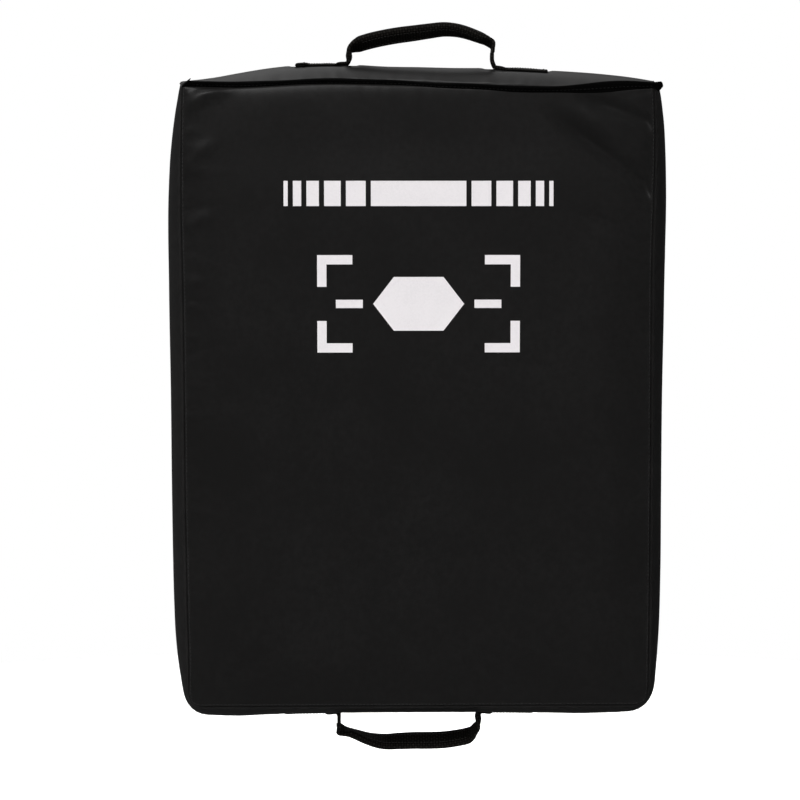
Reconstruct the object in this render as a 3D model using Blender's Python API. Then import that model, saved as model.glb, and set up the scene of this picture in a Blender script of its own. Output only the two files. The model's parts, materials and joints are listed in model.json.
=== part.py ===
"""Impact shield: a foam block in a boxed, sewn cover, with webbing handles and rear arm straps.

Metres, +Z up. The striking face looks along -Y, and the holder stands on the +Y side. The origin
is the middle of the back panel's outer face, between the two arm straps.
"""

import math

import bmesh
import bpy
from mathutils import Matrix, Vector

# Striking face, from seam to seam, and its rounded lower corners
FACE_WIDTH = 0.457
FACE_HEIGHT = 0.610
CORNER_RADIUS = 0.018
# Depth over the two crowned faces, and how the crown rises from the seams
PAD_DEPTH = 0.127
FRONT_CROWN = 0.007
BACK_CROWN = 0.003
CROWN_REACH = 0.090
# How far the boxing stands out past the seams at mid-depth
SIDE_BULGE = 0.019
TOP_BULGE = 0.022
BOTTOM_BULGE = 0.020
TOP_CORNER_BULGE = 0.007
BOTTOM_CORNER_BULGE = 0.015
SIDE_BULGE_REACH = 0.100
TOP_BULGE_REACH = 0.150
BOTTOM_BULGE_REACH = 0.060

# Cover fabric and the clearances between neighbours
FABRIC_THICKNESS = 0.0015
TOUCH_GAP = 0.0003
SEAM_LAP = 0.0023
FOAM_SIDE_INSET = 0.0024
FOAM_FACE_GAP = 0.0005
BACKING_FOAM_DEPTH = 0.050

# Bound lip of the closing seam, along the top front edge
LIP_HEIGHT = 0.0065
LIP_THICKNESS = 0.0032
LIP_GAP = 0.0004
EAR_LENGTH = 0.005
EAR_RISE = 0.0035

# Webbing of the two carrying handles
HANDLE_WEBBING_WIDTH = 0.038
HANDLE_WEBBING_THICKNESS = 0.0022
HANDLE_SPAN = 0.141
HANDLE_FOOT_LENGTH = 0.052
HANDLE_GRIP_WIDTH = 0.020
HANDLE_GRIP_THICKNESS = 0.008
HANDLE_LEAN = math.radians(22)
TOP_HANDLE_ARCH = 0.026
TOP_HANDLE_SHIFT = 0.003
BOTTOM_HANDLE_ARCH = 0.0215
BOTTOM_HANDLE_SHIFT = -0.009

# Webbing of the two arm straps on the back
STRAP_WEBBING_WIDTH = 0.050
STRAP_WEBBING_THICKNESS = 0.0025
STRAP_SPAN = 0.250
STRAP_FOOT_LENGTH = 0.055
STRAP_ARCH = 0.052
STRAP_SPACING = 0.220
# The flat middle of the back panel ends this far short of the straps' feet
STRAP_TO_FLAT = 0.005

# A loop is folded to a narrow neck where it leaves its feet, and turns about that neck
NECK_WIDTH = 0.020
NECK_THICKNESS = 0.0036
HANDLE_NECK_LENGTH = 0.014
STRAP_NECK_LENGTH = 0.034

# Reinforcing patches sewn inside the cover, behind the feet
PATCH_THICKNESS = 0.0012
PATCH_MARGIN = 0.004
PATCH_GAP = 0.0005

# Mesh density
CORNER_CELLS = 2
SLOPE_CELLS = 3
MIDDLE_CELLS_ACROSS = 5
MIDDLE_CELLS_UP = 7
DEPTH_CELLS = 10
TOP_CELLS = 24
FOOT_CELLS_ALONG = 5
FOOT_CELLS_ACROSS = 4
LIP_CELLS = 24
LOOP_STEPS_PER_POINT = 3
NECK_END_ANGLES = (78, 52, 26)

# Loop routes: share of the half span along, and share of the arch out from the turning axis
TOP_HANDLE_ROUTE = (
    (-1.0, 0.0), (-0.98, 0.2), (-0.85, 0.42), (-0.47, 0.68), (-0.04, 0.84), (0.38, 1.0),
    (0.62, 0.93), (0.83, 0.76), (0.97, 0.42), (1.0, 0.0),
)
BOTTOM_HANDLE_ROUTE = (
    (-1.0, 0.0), (-0.96, 0.3), (-0.76, 0.62), (-0.34, 0.97), (0.1, 0.92), (0.54, 0.9),
    (0.82, 0.68), (0.97, 0.3), (1.0, 0.0),
)
STRAP_ROUTE = (
    (-1.0, 0.0), (-0.97, 0.26), (-0.8, 0.64), (-0.42, 0.93), (0.0, 1.0), (0.42, 0.93),
    (0.8, 0.64), (0.97, 0.26), (1.0, 0.0),
)

# Values worked out from the sizes above
HALF_WIDTH = FACE_WIDTH / 2
HALF_HEIGHT = FACE_HEIGHT / 2
FRONT_SEAM_Y = FRONT_CROWN - PAD_DEPTH
BACK_SEAM_Y = -BACK_CROWN
MIDDLE_Y = (FRONT_SEAM_Y + BACK_SEAM_Y) / 2
NECK_RADIUS = NECK_WIDTH / 2
FRONT_FLAT = HALF_WIDTH - CROWN_REACH
BACK_FLAT = (STRAP_SPACING - STRAP_WEBBING_WIDTH) / 2 - STRAP_TO_FLAT

# Colour, roughness and metallic value of each finish
FINISHES = {
    "coated_fabric": ((0.012, 0.012, 0.012), 0.45, 0.0),
    "webbing": ((0.006, 0.006, 0.006), 0.8, 0.0),
    "soft_foam": ((0.62, 0.60, 0.50), 0.95, 0.0),
    "firm_foam": ((0.10, 0.10, 0.11), 0.9, 0.0),
    "patch_fabric": ((0.03, 0.03, 0.03), 0.7, 0.0),
}


def clear_scene():
    for item in list(bpy.data.objects):
        bpy.data.objects.remove(item, do_unlink=True)


def finish(name):
    """The Principled material of one finish, made the first time it is asked for."""
    material = bpy.data.materials.get(name)
    if material is None:
        colour, roughness, metallic = FINISHES[name]
        material = bpy.data.materials.new(name)
        material.use_nodes = True
        shader = material.node_tree.nodes["Principled BSDF"]
        shader.inputs["Base Color"].default_value = (*colour, 1.0)
        shader.inputs["Roughness"].default_value = roughness
        shader.inputs["Metallic"].default_value = metallic
    return material


def new_object(name, mesh_builder, material_name):
    """An object from a bmesh, shaded smooth, with its own finish."""
    mesh = bpy.data.meshes.new(name)
    mesh_builder.to_mesh(mesh)
    mesh_builder.free()
    mesh.shade_smooth()
    mesh.set_sharp_from_angle(angle=math.radians(35))
    mesh.materials.append(finish(material_name))
    item = bpy.data.objects.new(name, mesh)
    bpy.context.scene.collection.objects.link(item)
    return item


def ease(distance, reach):
    """Rise from 0 at an edge to 1 at the reach, and stay there."""
    share = min(max(distance / reach, 0.0), 1.0)
    return 1.0 - (1.0 - share) ** 2


def swell(y):
    """Share of the full bulge at a depth: none at the two seams, all of it midway."""
    share = (y - FRONT_SEAM_Y) / (BACK_SEAM_Y - FRONT_SEAM_Y)
    return 1.0 - (2.0 * share - 1.0) ** 2


def crown(x, z, flat):
    """Share of a face's crown: all of it within the flat half width, drawn in at the corners."""
    return ease(HALF_WIDTH - abs(x), HALF_WIDTH - flat) * ease(HALF_HEIGHT - abs(z), CROWN_REACH)


def grid_lines(half, flat, inset, middle_cells):
    """Grid places across a face, closer together in the corners and on the crown's slope."""
    centre = half - CORNER_RADIUS
    rim = [centre + (CORNER_RADIUS - inset) * step / CORNER_CELLS for step in range(CORNER_CELLS, 0, -1)]
    slope = [centre + (flat - centre) * step / SLOPE_CELLS for step in range(SLOPE_CELLS)]
    middle = [flat - 2 * flat * step / middle_cells for step in range(middle_cells + 1)]
    upper = rim + slope
    return upper + middle + [-place for place in reversed(upper)]


def round_corner(x, z, inset):
    """Draw the grid points of the two lower corners in to the rounded outline."""
    across = abs(x) - (HALF_WIDTH - CORNER_RADIUS)
    down = -z - (HALF_HEIGHT - CORNER_RADIUS)
    if across <= 0 or down <= 0:
        return x, z
    radius = CORNER_RADIUS - inset
    new_across = across * math.sqrt(1 - (down / radius) ** 2 / 2)
    new_down = down * math.sqrt(1 - (across / radius) ** 2 / 2)
    return math.copysign(abs(x) - across + new_across, x), z + down - new_down


def face_grid(inset, flat):
    """Rows of (plain, rounded) points of a face, from the top row down, each from +X to -X."""
    columns = grid_lines(HALF_WIDTH, flat, inset, MIDDLE_CELLS_ACROSS)
    rows = grid_lines(HALF_HEIGHT, HALF_HEIGHT - CROWN_REACH, inset, MIDDLE_CELLS_UP)
    return [[((x, z), round_corner(x, z, inset)) for x in columns] for z in rows]


def side_bulge(x, z):
    """Bulge of the left or right boxing at mid-depth, as an (x, z) step outward."""
    sign = math.copysign(1.0, x)
    if z > 0:
        share = ease(HALF_HEIGHT - z, SIDE_BULGE_REACH)
        out = TOP_CORNER_BULGE + (SIDE_BULGE - TOP_CORNER_BULGE) * share
        return sign * out, TOP_CORNER_BULGE * (1 - share)
    share = ease(HALF_HEIGHT - CORNER_RADIUS + z, SIDE_BULGE_REACH)
    return sign * (BOTTOM_CORNER_BULGE + (SIDE_BULGE - BOTTOM_CORNER_BULGE) * share), 0.0


def corner_bulge(x, z):
    """Bulge round a lower corner, along the arc's own normal."""
    centre_x = math.copysign(HALF_WIDTH - CORNER_RADIUS, x)
    centre_z = CORNER_RADIUS - HALF_HEIGHT
    out = Vector((x - centre_x, z - centre_z)).normalized() * BOTTOM_CORNER_BULGE
    return out.x, out.y


def bottom_bulge(x):
    share = ease(HALF_WIDTH - CORNER_RADIUS - abs(x), BOTTOM_BULGE_REACH)
    return 0.0, -(BOTTOM_CORNER_BULGE + (BOTTOM_BULGE - BOTTOM_CORNER_BULGE) * share)


def top_bulge(x):
    share = ease(HALF_WIDTH - abs(x), TOP_BULGE_REACH)
    sideways = math.copysign(TOP_CORNER_BULGE * (1 - share), x)
    return sideways, TOP_CORNER_BULGE + (TOP_BULGE - TOP_CORNER_BULGE) * share


def bulge_at(plain, rounded, on_top):
    """Bulge of the boxing at one point of the outline."""
    x, z = plain
    if on_top:
        return top_bulge(x)
    if rounded != plain:
        return corner_bulge(*rounded)
    if HALF_WIDTH - abs(x) < CORNER_RADIUS / 2:
        return side_bulge(x, z)
    return bottom_bulge(x)


def outline(inset, flat):
    """The closed outline, as (row, column) grid indices with place and bulge, +X side first."""
    grid = face_grid(inset, flat)
    last_row, last_column = len(grid) - 1, len(grid[0]) - 1
    indices = [(row, 0) for row in range(last_row)]
    indices += [(last_row, column) for column in range(last_column)]
    indices += [(row, last_column) for row in range(last_row, 0, -1)]
    indices += [(0, column) for column in range(last_column, 0, -1)]
    full = face_grid(0.0, flat)
    stations = []
    for row, column in indices:
        plain, rounded = full[row][column]
        on_top = row == 0 and 0 < column < last_column
        stations.append(((row, column), grid[row][column][1], bulge_at(plain, rounded, on_top)))
    return stations


def sheet(name, rows, thickness, material_name):
    """A sheet of fabric: rows of points on its outer side, thickened inward."""
    builder = bmesh.new()
    grid = [[builder.verts.new(point) for point in row] for row in rows]
    for upper, lower in zip(grid, grid[1:]):
        for step in range(len(upper) - 1):
            builder.faces.new((upper[step], lower[step], lower[step + 1], upper[step + 1]))
    item = new_object(name, builder, material_name)
    wall = item.modifiers.new("thickness", "SOLIDIFY")
    wall.thickness = thickness
    wall.offset = -1.0
    wall.use_even_offset = True
    wall.use_quality_normals = True
    return item


def face_panel(name, seam_y, rise, flat, outward):
    """The front or back panel: a crowned sheet, its outer side towards the outward sign of Y."""
    rows = []
    for grid_row in face_grid(0.0, flat):
        row = []
        for (x, z), (round_x, round_z) in grid_row:
            row.append(Vector((round_x, seam_y + outward * rise * crown(x, z, flat), round_z)))
        rows.append(row if outward > 0 else row[::-1])
    return sheet(name, rows, FABRIC_THICKNESS, "coated_fabric")


def boxing_strip():
    """The U-shaped strip down one side, round the rounded lower corners and up the other."""
    last = MIDDLE_CELLS_UP + 2 * (CORNER_CELLS + SLOPE_CELLS)
    across = MIDDLE_CELLS_ACROSS + 2 * (CORNER_CELLS + SLOPE_CELLS)
    stations = outline(0.0, FRONT_FLAT)[: 2 * last + across + 1]
    depths = depth_rows(FRONT_SEAM_Y + SEAM_LAP, BACK_SEAM_Y - SEAM_LAP, DEPTH_CELLS)
    rows = []
    for number, (_, (x, z), (out_x, out_z)) in enumerate(stations):
        drop = SEAM_LAP if number in (0, len(stations) - 1) else 0.0
        rows.append([Vector((x + out_x * swell(y), y, z + out_z * swell(y) - drop)) for y in depths])
    return sheet("boxing_strip", rows, FABRIC_THICKNESS, "coated_fabric")


def depth_rows(start, end, cells):
    return [start + (end - start) * step / cells for step in range(cells + 1)]


def top_surface(x, y):
    """A point of the top panel's outer side."""
    out_x, out_z = top_bulge(x)
    return Vector((x + out_x * swell(y), y, HALF_HEIGHT + out_z * swell(y)))


def bottom_surface(x, y):
    """A point of the outer side of the boxing under the shield."""
    return Vector((x, y, -HALF_HEIGHT + bottom_bulge(x)[1] * swell(y)))


def top_panel():
    """The closing panel, sewn in last over the open top of the cover."""
    depths = depth_rows(FRONT_SEAM_Y + SEAM_LAP, BACK_SEAM_Y - SEAM_LAP, DEPTH_CELLS)
    places = [HALF_WIDTH - FACE_WIDTH * step / TOP_CELLS for step in range(TOP_CELLS + 1)]
    rows = [[top_surface(x, y) for y in reversed(depths)] for x in places]
    return sheet("top_panel", rows, FABRIC_THICKNESS, "coated_fabric")


def foam_layer(name, material_name, face_y, crown_step, flat, depths):
    """A foam slab: its crowned outer face, its swelling sides, and the flat face between layers."""
    builder = bmesh.new()
    grid = []
    for grid_row in face_grid(FOAM_SIDE_INSET, flat):
        row = []
        for (x, z), (round_x, round_z) in grid_row:
            row.append(builder.verts.new((round_x, face_y + crown_step * crown(x, z, flat), round_z)))
        grid.append(row)
    for upper, lower in zip(grid, grid[1:]):
        for step in range(len(upper) - 1):
            builder.faces.new((upper[step], upper[step + 1], lower[step + 1], lower[step]))
    stations = outline(FOAM_SIDE_INSET, flat)
    ring = [grid[row][column] for (row, column), _, _ in stations]
    for y in depths:
        new_ring = []
        for _, (x, z), (out_x, out_z) in stations:
            new_ring.append(builder.verts.new((x + out_x * swell(y), y, z + out_z * swell(y))))
        for step in range(len(ring)):
            after = (step + 1) % len(ring)
            builder.faces.new((ring[step], ring[after], new_ring[after], new_ring[step]))
        ring = new_ring
    builder.faces.new(ring)
    bmesh.ops.recalc_face_normals(builder, faces=builder.faces)
    return new_object(name, builder, material_name)


def foam_core(pockets):
    """The two foam layers, with shallow pockets where the patches press into them."""
    split_y = -BACKING_FOAM_DEPTH
    front_y = FRONT_SEAM_Y + FABRIC_THICKNESS + FOAM_FACE_GAP
    back_y = BACK_SEAM_Y - FABRIC_THICKNESS - FOAM_FACE_GAP
    row_depth = (BACK_SEAM_Y - FRONT_SEAM_Y) / DEPTH_CELLS
    front_rows = round((split_y - front_y) / row_depth)
    back_rows = round((back_y - split_y) / row_depth)
    front_depths = depth_rows(front_y, split_y - TOUCH_GAP / 2, front_rows)[1:]
    back_depths = depth_rows(back_y, split_y + TOUCH_GAP / 2, back_rows)[1:]
    strike = foam_layer("strike_foam", "soft_foam", front_y, -FRONT_CROWN, FRONT_FLAT, front_depths)
    backing = foam_layer("backing_foam", "firm_foam", back_y, BACK_CROWN, BACK_FLAT, back_depths)
    cutters = bpy.data.collections.new("foam_pockets")
    for pocket in pockets:
        cutters.objects.link(pocket)
    for layer in (strike, backing):
        cut = layer.modifiers.new("pockets", "BOOLEAN")
        cut.operation = "DIFFERENCE"
        cut.solver = "EXACT"
        cut.operand_type = "COLLECTION"
        cut.collection = cutters


def ring_tube(builder, rings):
    """Join closed rings of points into one tube with flat ends."""
    rows = [[builder.verts.new(point) for point in ring] for ring in rings]
    for lower, upper in zip(rows, rows[1:]):
        for step in range(len(lower)):
            after = (step + 1) % len(lower)
            builder.faces.new((lower[step], lower[after], upper[after], upper[step]))
    builder.faces.new(rows[0][::-1])
    builder.faces.new(rows[-1])
    bmesh.ops.recalc_face_normals(builder, faces=builder.faces)


def flat_section(half_width, half_thickness):
    """Corner points of a flat band's section with eased edges, as (width, thickness) steps."""
    narrow = max(half_width - half_thickness, half_width / 2)
    eased = half_thickness / 2
    right = [(half_width, -eased), (half_width, eased), (narrow, half_thickness)]
    left = [(-narrow, half_thickness), (-half_width, eased), (-half_width, -eased)]
    return right + left + [(-narrow, -half_thickness), (narrow, -half_thickness)]


def closing_seam_binding():
    """The folded tape round the raw edges of the closing seam, with an ear past each corner."""
    out = Vector((0.0, -1.0, 1.0)).normalized()
    across = Vector((0.0, 1.0, 1.0)).normalized()
    seam = Vector((0.0, FRONT_SEAM_Y, HALF_HEIGHT))
    length = FACE_WIDTH + 2 * EAR_LENGTH
    rings = []
    for step in range(LIP_CELLS + 1):
        x = -length / 2 + length * step / LIP_CELLS
        rise = EAR_RISE * (1 - ease(length / 2 - abs(x), length / LIP_CELLS))
        middle = seam + out * (LIP_GAP + LIP_HEIGHT / 2 + rise)
        ring = []
        for high, thick in flat_section(LIP_HEIGHT / 2, LIP_THICKNESS / 2):
            ring.append(Vector((x, 0.0, 0.0)) + middle + out * high + across * thick)
        rings.append(ring)
    builder = bmesh.new()
    ring_tube(builder, rings)
    return new_object("closing_seam_binding", builder, "coated_fabric")


def smooth_route(points, steps):
    """Points along a smooth curve through the given ones."""
    ends = [points[0] * 2 - points[1]] + points + [points[-1] * 2 - points[-2]]
    route = []
    for before, start, end, after in zip(ends, ends[1:], ends[2:], ends[3:]):
        for step in range(steps):
            share = step / steps
            pull = (end - before) / 2
            leave = (after - start) / 2
            bend = 3 * (end - start) - 2 * pull - leave
            twist = 2 * (start - end) + pull + leave
            route.append(start + pull * share + bend * share ** 2 + twist * share ** 3)
    return route + [points[-1]]


def webbing_loop(name, hinge, route_shares, span, arch, width, thickness, neck_length):
    """A loop of webbing in the hinge's own frame: X along the span, Z out, Y across the webbing."""
    points = [Vector((along * span / 2, out * arch)) for along, out in route_shares]
    route = smooth_route(points, LOOP_STEPS_PER_POINT)
    neck = []
    for degrees in NECK_END_ANGLES:
        angle = math.radians(degrees)
        neck.append((Vector((-span / 2, -NECK_RADIUS * math.sin(angle))), NECK_RADIUS * math.cos(angle)))
    travelled = 0.0
    stations = [(place, half_width, NECK_THICKNESS / 2) for place, half_width in neck]
    lengths = [0.0]
    for before, place in zip(route, route[1:]):
        travelled += (place - before).length
        lengths.append(travelled)
    for place, length in zip(route, lengths):
        share = ease(min(length, travelled - length), neck_length)
        half_width = NECK_RADIUS + (width / 2 - NECK_RADIUS) * share
        half_thickness = (NECK_THICKNESS + (thickness - NECK_THICKNESS) * share) / 2
        stations.append((place, half_width, half_thickness))
    for place, half_width in reversed(neck):
        stations.append((Vector((-place.x, place.y)), half_width, NECK_THICKNESS / 2))
    places = [place for place, _, _ in stations]
    rings = []
    for number, (place, half_width, half_thickness) in enumerate(stations):
        before = places[max(number - 1, 0)]
        after = places[min(number + 1, len(places) - 1)]
        along = (after - before).normalized()
        out = Vector((-along.y, along.x))
        ring = []
        for wide, thick in flat_section(half_width, half_thickness):
            ring.append(Vector((place.x + out.x * thick, wide, place.y + out.y * thick)))
        rings.append(ring)
    builder = bmesh.new()
    ring_tube(builder, rings)
    item = new_object(name, builder, "webbing")
    item.parent = hinge
    return item


def laid_point(surface, outward, along, across, height):
    """A point at a height over a surface of the cover, measured square to it."""
    step = CORNER_RADIUS / 10
    tangent_along = surface(along + step, across) - surface(along - step, across)
    tangent_across = surface(along, across + step) - surface(along, across - step)
    normal = tangent_along.cross(tangent_across).normalized() * outward
    return surface(along, across) + normal * height


def laid_patch(name, surface, outward, span, half_widths, height, thickness, material_name):
    """A flat piece laid on the cover: its outer side at a height, its thickness inward."""
    start, end = span
    rows = []
    for step in range(FOOT_CELLS_ALONG + 1):
        share = step / FOOT_CELLS_ALONG
        along = start + (end - start) * share
        half_width = half_widths[0] if share < 1 else half_widths[1]
        row = []
        for place in range(FOOT_CELLS_ACROSS + 1):
            across = half_width * (2 * place / FOOT_CELLS_ACROSS - 1)
            row.append(laid_point(surface, outward, along, across, height))
        rows.append(row)
    if (end - start) * outward > 0:
        rows = [row[::-1] for row in rows]
    rows = [row[::-1] for row in rows]
    return sheet(name, rows, thickness, material_name)


def sewn_feet(name, surface, outward, centre, span, foot_length, width, thickness):
    """Both feet of a loop, the patches behind them, and the pockets that these need in the foam."""
    pockets = []
    for side, sign in (("first", -1), ("second", 1)):
        inner = centre + sign * (span / 2 - NECK_THICKNESS)
        outer = centre + sign * (span / 2 + foot_length)
        title = FOOT_NAMES[name][side]
        lift = TOUCH_GAP + thickness
        laid_patch(f"{name}_{title}_foot", surface, outward, (outer, inner),
                   (width / 2, NECK_RADIUS), lift, thickness, "webbing")
        margin = PATCH_MARGIN * sign
        reach = (outer + margin, inner - margin)
        half = width / 2 + PATCH_MARGIN
        depth = -FABRIC_THICKNESS - PATCH_GAP
        laid_patch(f"{name}_{title}_patch", surface, outward, reach,
                   (half, half), depth, PATCH_THICKNESS, "patch_fabric")
        room = TOUCH_GAP * 2
        pocket = laid_patch(f"{name}_{title}_pocket", surface, outward,
                            (reach[0] + sign * room, reach[1] - sign * room), (half + room, half + room),
                            0.0, -depth + PATCH_THICKNESS + room, "patch_fabric")
        pocket.hide_render = True
        pocket.display_type = "WIRE"
        pockets.append(pocket)
    return pockets


def hinge_axis(name, place, along, out):
    """An empty on a loop's turning axis: its X runs along the axis and its Z points out."""
    empty = bpy.data.objects.new(name, None)
    bpy.context.scene.collection.objects.link(empty)
    axes = Matrix((along, out.cross(along), out)).transposed()
    empty.matrix_world = Matrix.Translation(place) @ axes.to_4x4()
    return empty


FOOT_NAMES = {
    "top_handle": {"first": "left", "second": "right"},
    "bottom_handle": {"first": "left", "second": "right"},
    "left_arm_strap": {"first": "lower", "second": "upper"},
    "right_arm_strap": {"first": "lower", "second": "upper"},
}


def carrying_handle(name, surface, up, crest, centre, arch, route_shares):
    """A carrying handle on the top or the bottom of the shield, leaning towards the holder."""
    thickness = HANDLE_WEBBING_THICKNESS
    pockets = sewn_feet(name, surface, up, centre, HANDLE_SPAN, HANDLE_FOOT_LENGTH,
                        HANDLE_WEBBING_WIDTH, thickness)
    height = crest + thickness + 2 * TOUCH_GAP + NECK_RADIUS
    out = Vector((0.0, math.sin(HANDLE_LEAN), up * math.cos(HANDLE_LEAN)))
    hinge = hinge_axis(f"{name}_axis", Vector((centre, MIDDLE_Y, up * height)), Vector((1, 0, 0)), out)
    webbing_loop(f"{name}_loop", hinge, route_shares, HANDLE_SPAN, arch,
                 HANDLE_GRIP_WIDTH, HANDLE_GRIP_THICKNESS, HANDLE_NECK_LENGTH)
    return pockets


def arm_strap(name, x):
    """An upright arm strap on the back panel."""
    def surface(along, across):
        y = BACK_SEAM_Y + BACK_CROWN * crown(x + across, along, BACK_FLAT)
        return Vector((x + across, y, along))

    thickness = STRAP_WEBBING_THICKNESS
    pockets = sewn_feet(name, surface, 1, 0.0, STRAP_SPAN, STRAP_FOOT_LENGTH,
                        STRAP_WEBBING_WIDTH, thickness)
    height = thickness + 2 * TOUCH_GAP + NECK_RADIUS
    hinge = hinge_axis(f"{name}_axis", Vector((x, height, 0.0)), Vector((0, 0, 1)), Vector((0, 1, 0)))
    webbing_loop(f"{name}_loop", hinge, STRAP_ROUTE, STRAP_SPAN, STRAP_ARCH,
                 STRAP_WEBBING_WIDTH, thickness, STRAP_NECK_LENGTH)
    return pockets


def build_shield():
    clear_scene()
    face_panel("front_panel", FRONT_SEAM_Y, FRONT_CROWN, FRONT_FLAT, -1)
    face_panel("back_panel", BACK_SEAM_Y, BACK_CROWN, BACK_FLAT, 1)
    boxing_strip()
    top_panel()
    closing_seam_binding()
    pockets = carrying_handle("top_handle", lambda along, across: top_surface(along, MIDDLE_Y + across), 1,
                              HALF_HEIGHT + TOP_BULGE, TOP_HANDLE_SHIFT, TOP_HANDLE_ARCH, TOP_HANDLE_ROUTE)
    pockets += carrying_handle("bottom_handle",
                               lambda along, across: bottom_surface(along, MIDDLE_Y + across), -1,
                               HALF_HEIGHT + BOTTOM_BULGE, BOTTOM_HANDLE_SHIFT, BOTTOM_HANDLE_ARCH,
                               BOTTOM_HANDLE_ROUTE)
    pockets += arm_strap("left_arm_strap", -STRAP_SPACING / 2)
    pockets += arm_strap("right_arm_strap", STRAP_SPACING / 2)
    foam_core(pockets)


build_shield()
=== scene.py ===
"""Impact shield: a foam block in a sewn cover, with webbing handles and arm straps.

Laid out as a Blender add-on and run as a script. Each operator builds one group of pieces round
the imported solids, in metres, with the striking face towards -Y and the holder on the +Y side.
"""

import json
import math

import bmesh
import bpy
import numpy as np
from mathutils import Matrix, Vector


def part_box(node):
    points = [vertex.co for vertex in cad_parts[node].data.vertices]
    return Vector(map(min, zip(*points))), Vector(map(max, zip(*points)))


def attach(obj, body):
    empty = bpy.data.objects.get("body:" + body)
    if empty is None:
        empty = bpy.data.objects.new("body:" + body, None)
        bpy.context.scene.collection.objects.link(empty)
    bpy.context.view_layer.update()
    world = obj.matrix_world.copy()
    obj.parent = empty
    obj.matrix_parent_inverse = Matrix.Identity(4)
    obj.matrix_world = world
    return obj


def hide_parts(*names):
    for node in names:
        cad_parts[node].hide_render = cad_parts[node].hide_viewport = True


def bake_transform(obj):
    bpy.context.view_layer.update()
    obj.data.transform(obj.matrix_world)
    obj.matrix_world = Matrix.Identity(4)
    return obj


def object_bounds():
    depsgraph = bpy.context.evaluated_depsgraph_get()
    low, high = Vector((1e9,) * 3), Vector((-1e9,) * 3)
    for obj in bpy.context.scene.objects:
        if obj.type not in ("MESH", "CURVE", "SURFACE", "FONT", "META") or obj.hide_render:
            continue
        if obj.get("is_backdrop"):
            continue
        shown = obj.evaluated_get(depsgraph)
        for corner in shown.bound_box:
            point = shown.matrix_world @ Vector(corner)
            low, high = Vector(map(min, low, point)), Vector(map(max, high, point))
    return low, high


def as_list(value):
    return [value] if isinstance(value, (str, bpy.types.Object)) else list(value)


bl_info = {
    "name": "Impact Shield",
    "version": (1, 0, 0),
    "blender": (4, 5, 0),
    "location": "3D View > Sidebar > Impact Shield",
    "description": "Dresses the solids of a foam impact shield in sewn fabric and webbing",
    "category": "Add Mesh",
}

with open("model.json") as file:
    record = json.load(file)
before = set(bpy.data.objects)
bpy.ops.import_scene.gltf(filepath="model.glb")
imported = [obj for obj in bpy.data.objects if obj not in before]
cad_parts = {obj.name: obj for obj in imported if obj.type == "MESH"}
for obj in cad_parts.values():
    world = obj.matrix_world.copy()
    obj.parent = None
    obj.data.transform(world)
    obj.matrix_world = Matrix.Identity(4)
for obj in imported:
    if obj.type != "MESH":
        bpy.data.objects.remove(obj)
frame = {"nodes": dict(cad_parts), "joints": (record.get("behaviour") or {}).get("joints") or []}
CAD_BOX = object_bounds()

# Sizes of the solids that the cover is fitted to
FACE_LOW, FACE_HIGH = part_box("front_panel")
BACK_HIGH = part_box("back_panel")[1]
HALF_WIDTH = FACE_HIGH.x
HALF_HEIGHT = FACE_HIGH.z
FRONT_CROWN = 0.007
BACK_CROWN = 0.003
FRONT_SEAM_Y = FACE_LOW.y + FRONT_CROWN
BACK_SEAM_Y = BACK_HIGH.y - BACK_CROWN
MIDDLE_Y = (FRONT_SEAM_Y + BACK_SEAM_Y) / 2
HALF_DEPTH = (BACK_SEAM_Y - FRONT_SEAM_Y) / 2
CORNER_RADIUS = 0.018
BOTTOM_CLEAR = 0.010
CROWN_REACH = 0.090
BACK_FLAT = 0.080
# Share of each crown that rises within the first centimetres of a seam, as stuffed fabric does
SHOULDER_REACH = 0.022
SHOULDER_SHARE = 0.55
# The same share along the closing seam, at places in millimetres across
CLOSING_SHOULDER = (
    (-228, -190, -100, -20, 40, 90, 150, 228),
    (0.38, 0.43, 0.45, 0.38, 0.27, 0.17, 0.13, 0.26),
)
CLOSING_SHOULDER_REACH = 0.0055
CLOSING_REACH = 0.220
TOP_CORNER_BULGE = 0.007
TOP_CORNER_REACH = 0.100

# The foam inside the cover: its mesh, and its room under the cover and under the dips of the face
FOAM_VOXEL = 0.0055
FOAM_INSET = 0.005
FOAM_CLEARANCE = 0.004
# Spacing of the points that the foam and the print take from the face
FACE_CELL = 0.004

# How a panel's edge rolls into a seam
ROLL_RADIUS = 0.0025
ROLL_SET_BACK = 0.0015
ROLL_END = math.pi / 4 + math.asin(ROLL_SET_BACK / ROLL_RADIUS / math.sqrt(2))
ROLL_LENGTH = ROLL_RADIUS * ROLL_END
ROLL_DEPTH = ROLL_RADIUS * (1 - math.cos(ROLL_END))
ROLL_STEPS = 4
STITCH_LINE = 3

# Boxing bulge at mid-depth, in millimetres, at places in millimetres up or across
RIGHT_BULGE = (
    (-295, -270, -240, -180, -100, 0, 90, 210, 240, 275, 290, 305),
    (10.8, 12.6, 14.4, 15.5, 15.2, 15.3, 16.7, 16.9, 15.7, 13.2, 11, 8),
)
LEFT_BULGE = (
    (-295, -270, -240, -210, -100, 0, 110, 205, 240, 280, 305),
    (8.5, 12.8, 15.5, 16.2, 16.5, 16.5, 17.2, 16, 14, 8.5, 3),
)
BOTTOM_BULGE = (
    (-212, -193, -178, -163, -133, -60, 60, 133, 163, 193, 212),
    (18, 19, 19.2, 18.4, 17.0, 15.9, 15.9, 17.0, 17.8, 17.0, 16.0),
)
TOP_BULGE = (
    (-228, -210, -193, -178, -148, -133, -84, -58, -32, 0, 38, 62, 84, 130, 180, 205, 228),
    (4, 6.5, 9.6, 12.8, 17.7, 19.3, 21.4, 20.6, 19.3, 19.0, 18.7, 18.9, 19.0, 17, 13.4, 10, 5.5),
)
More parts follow.
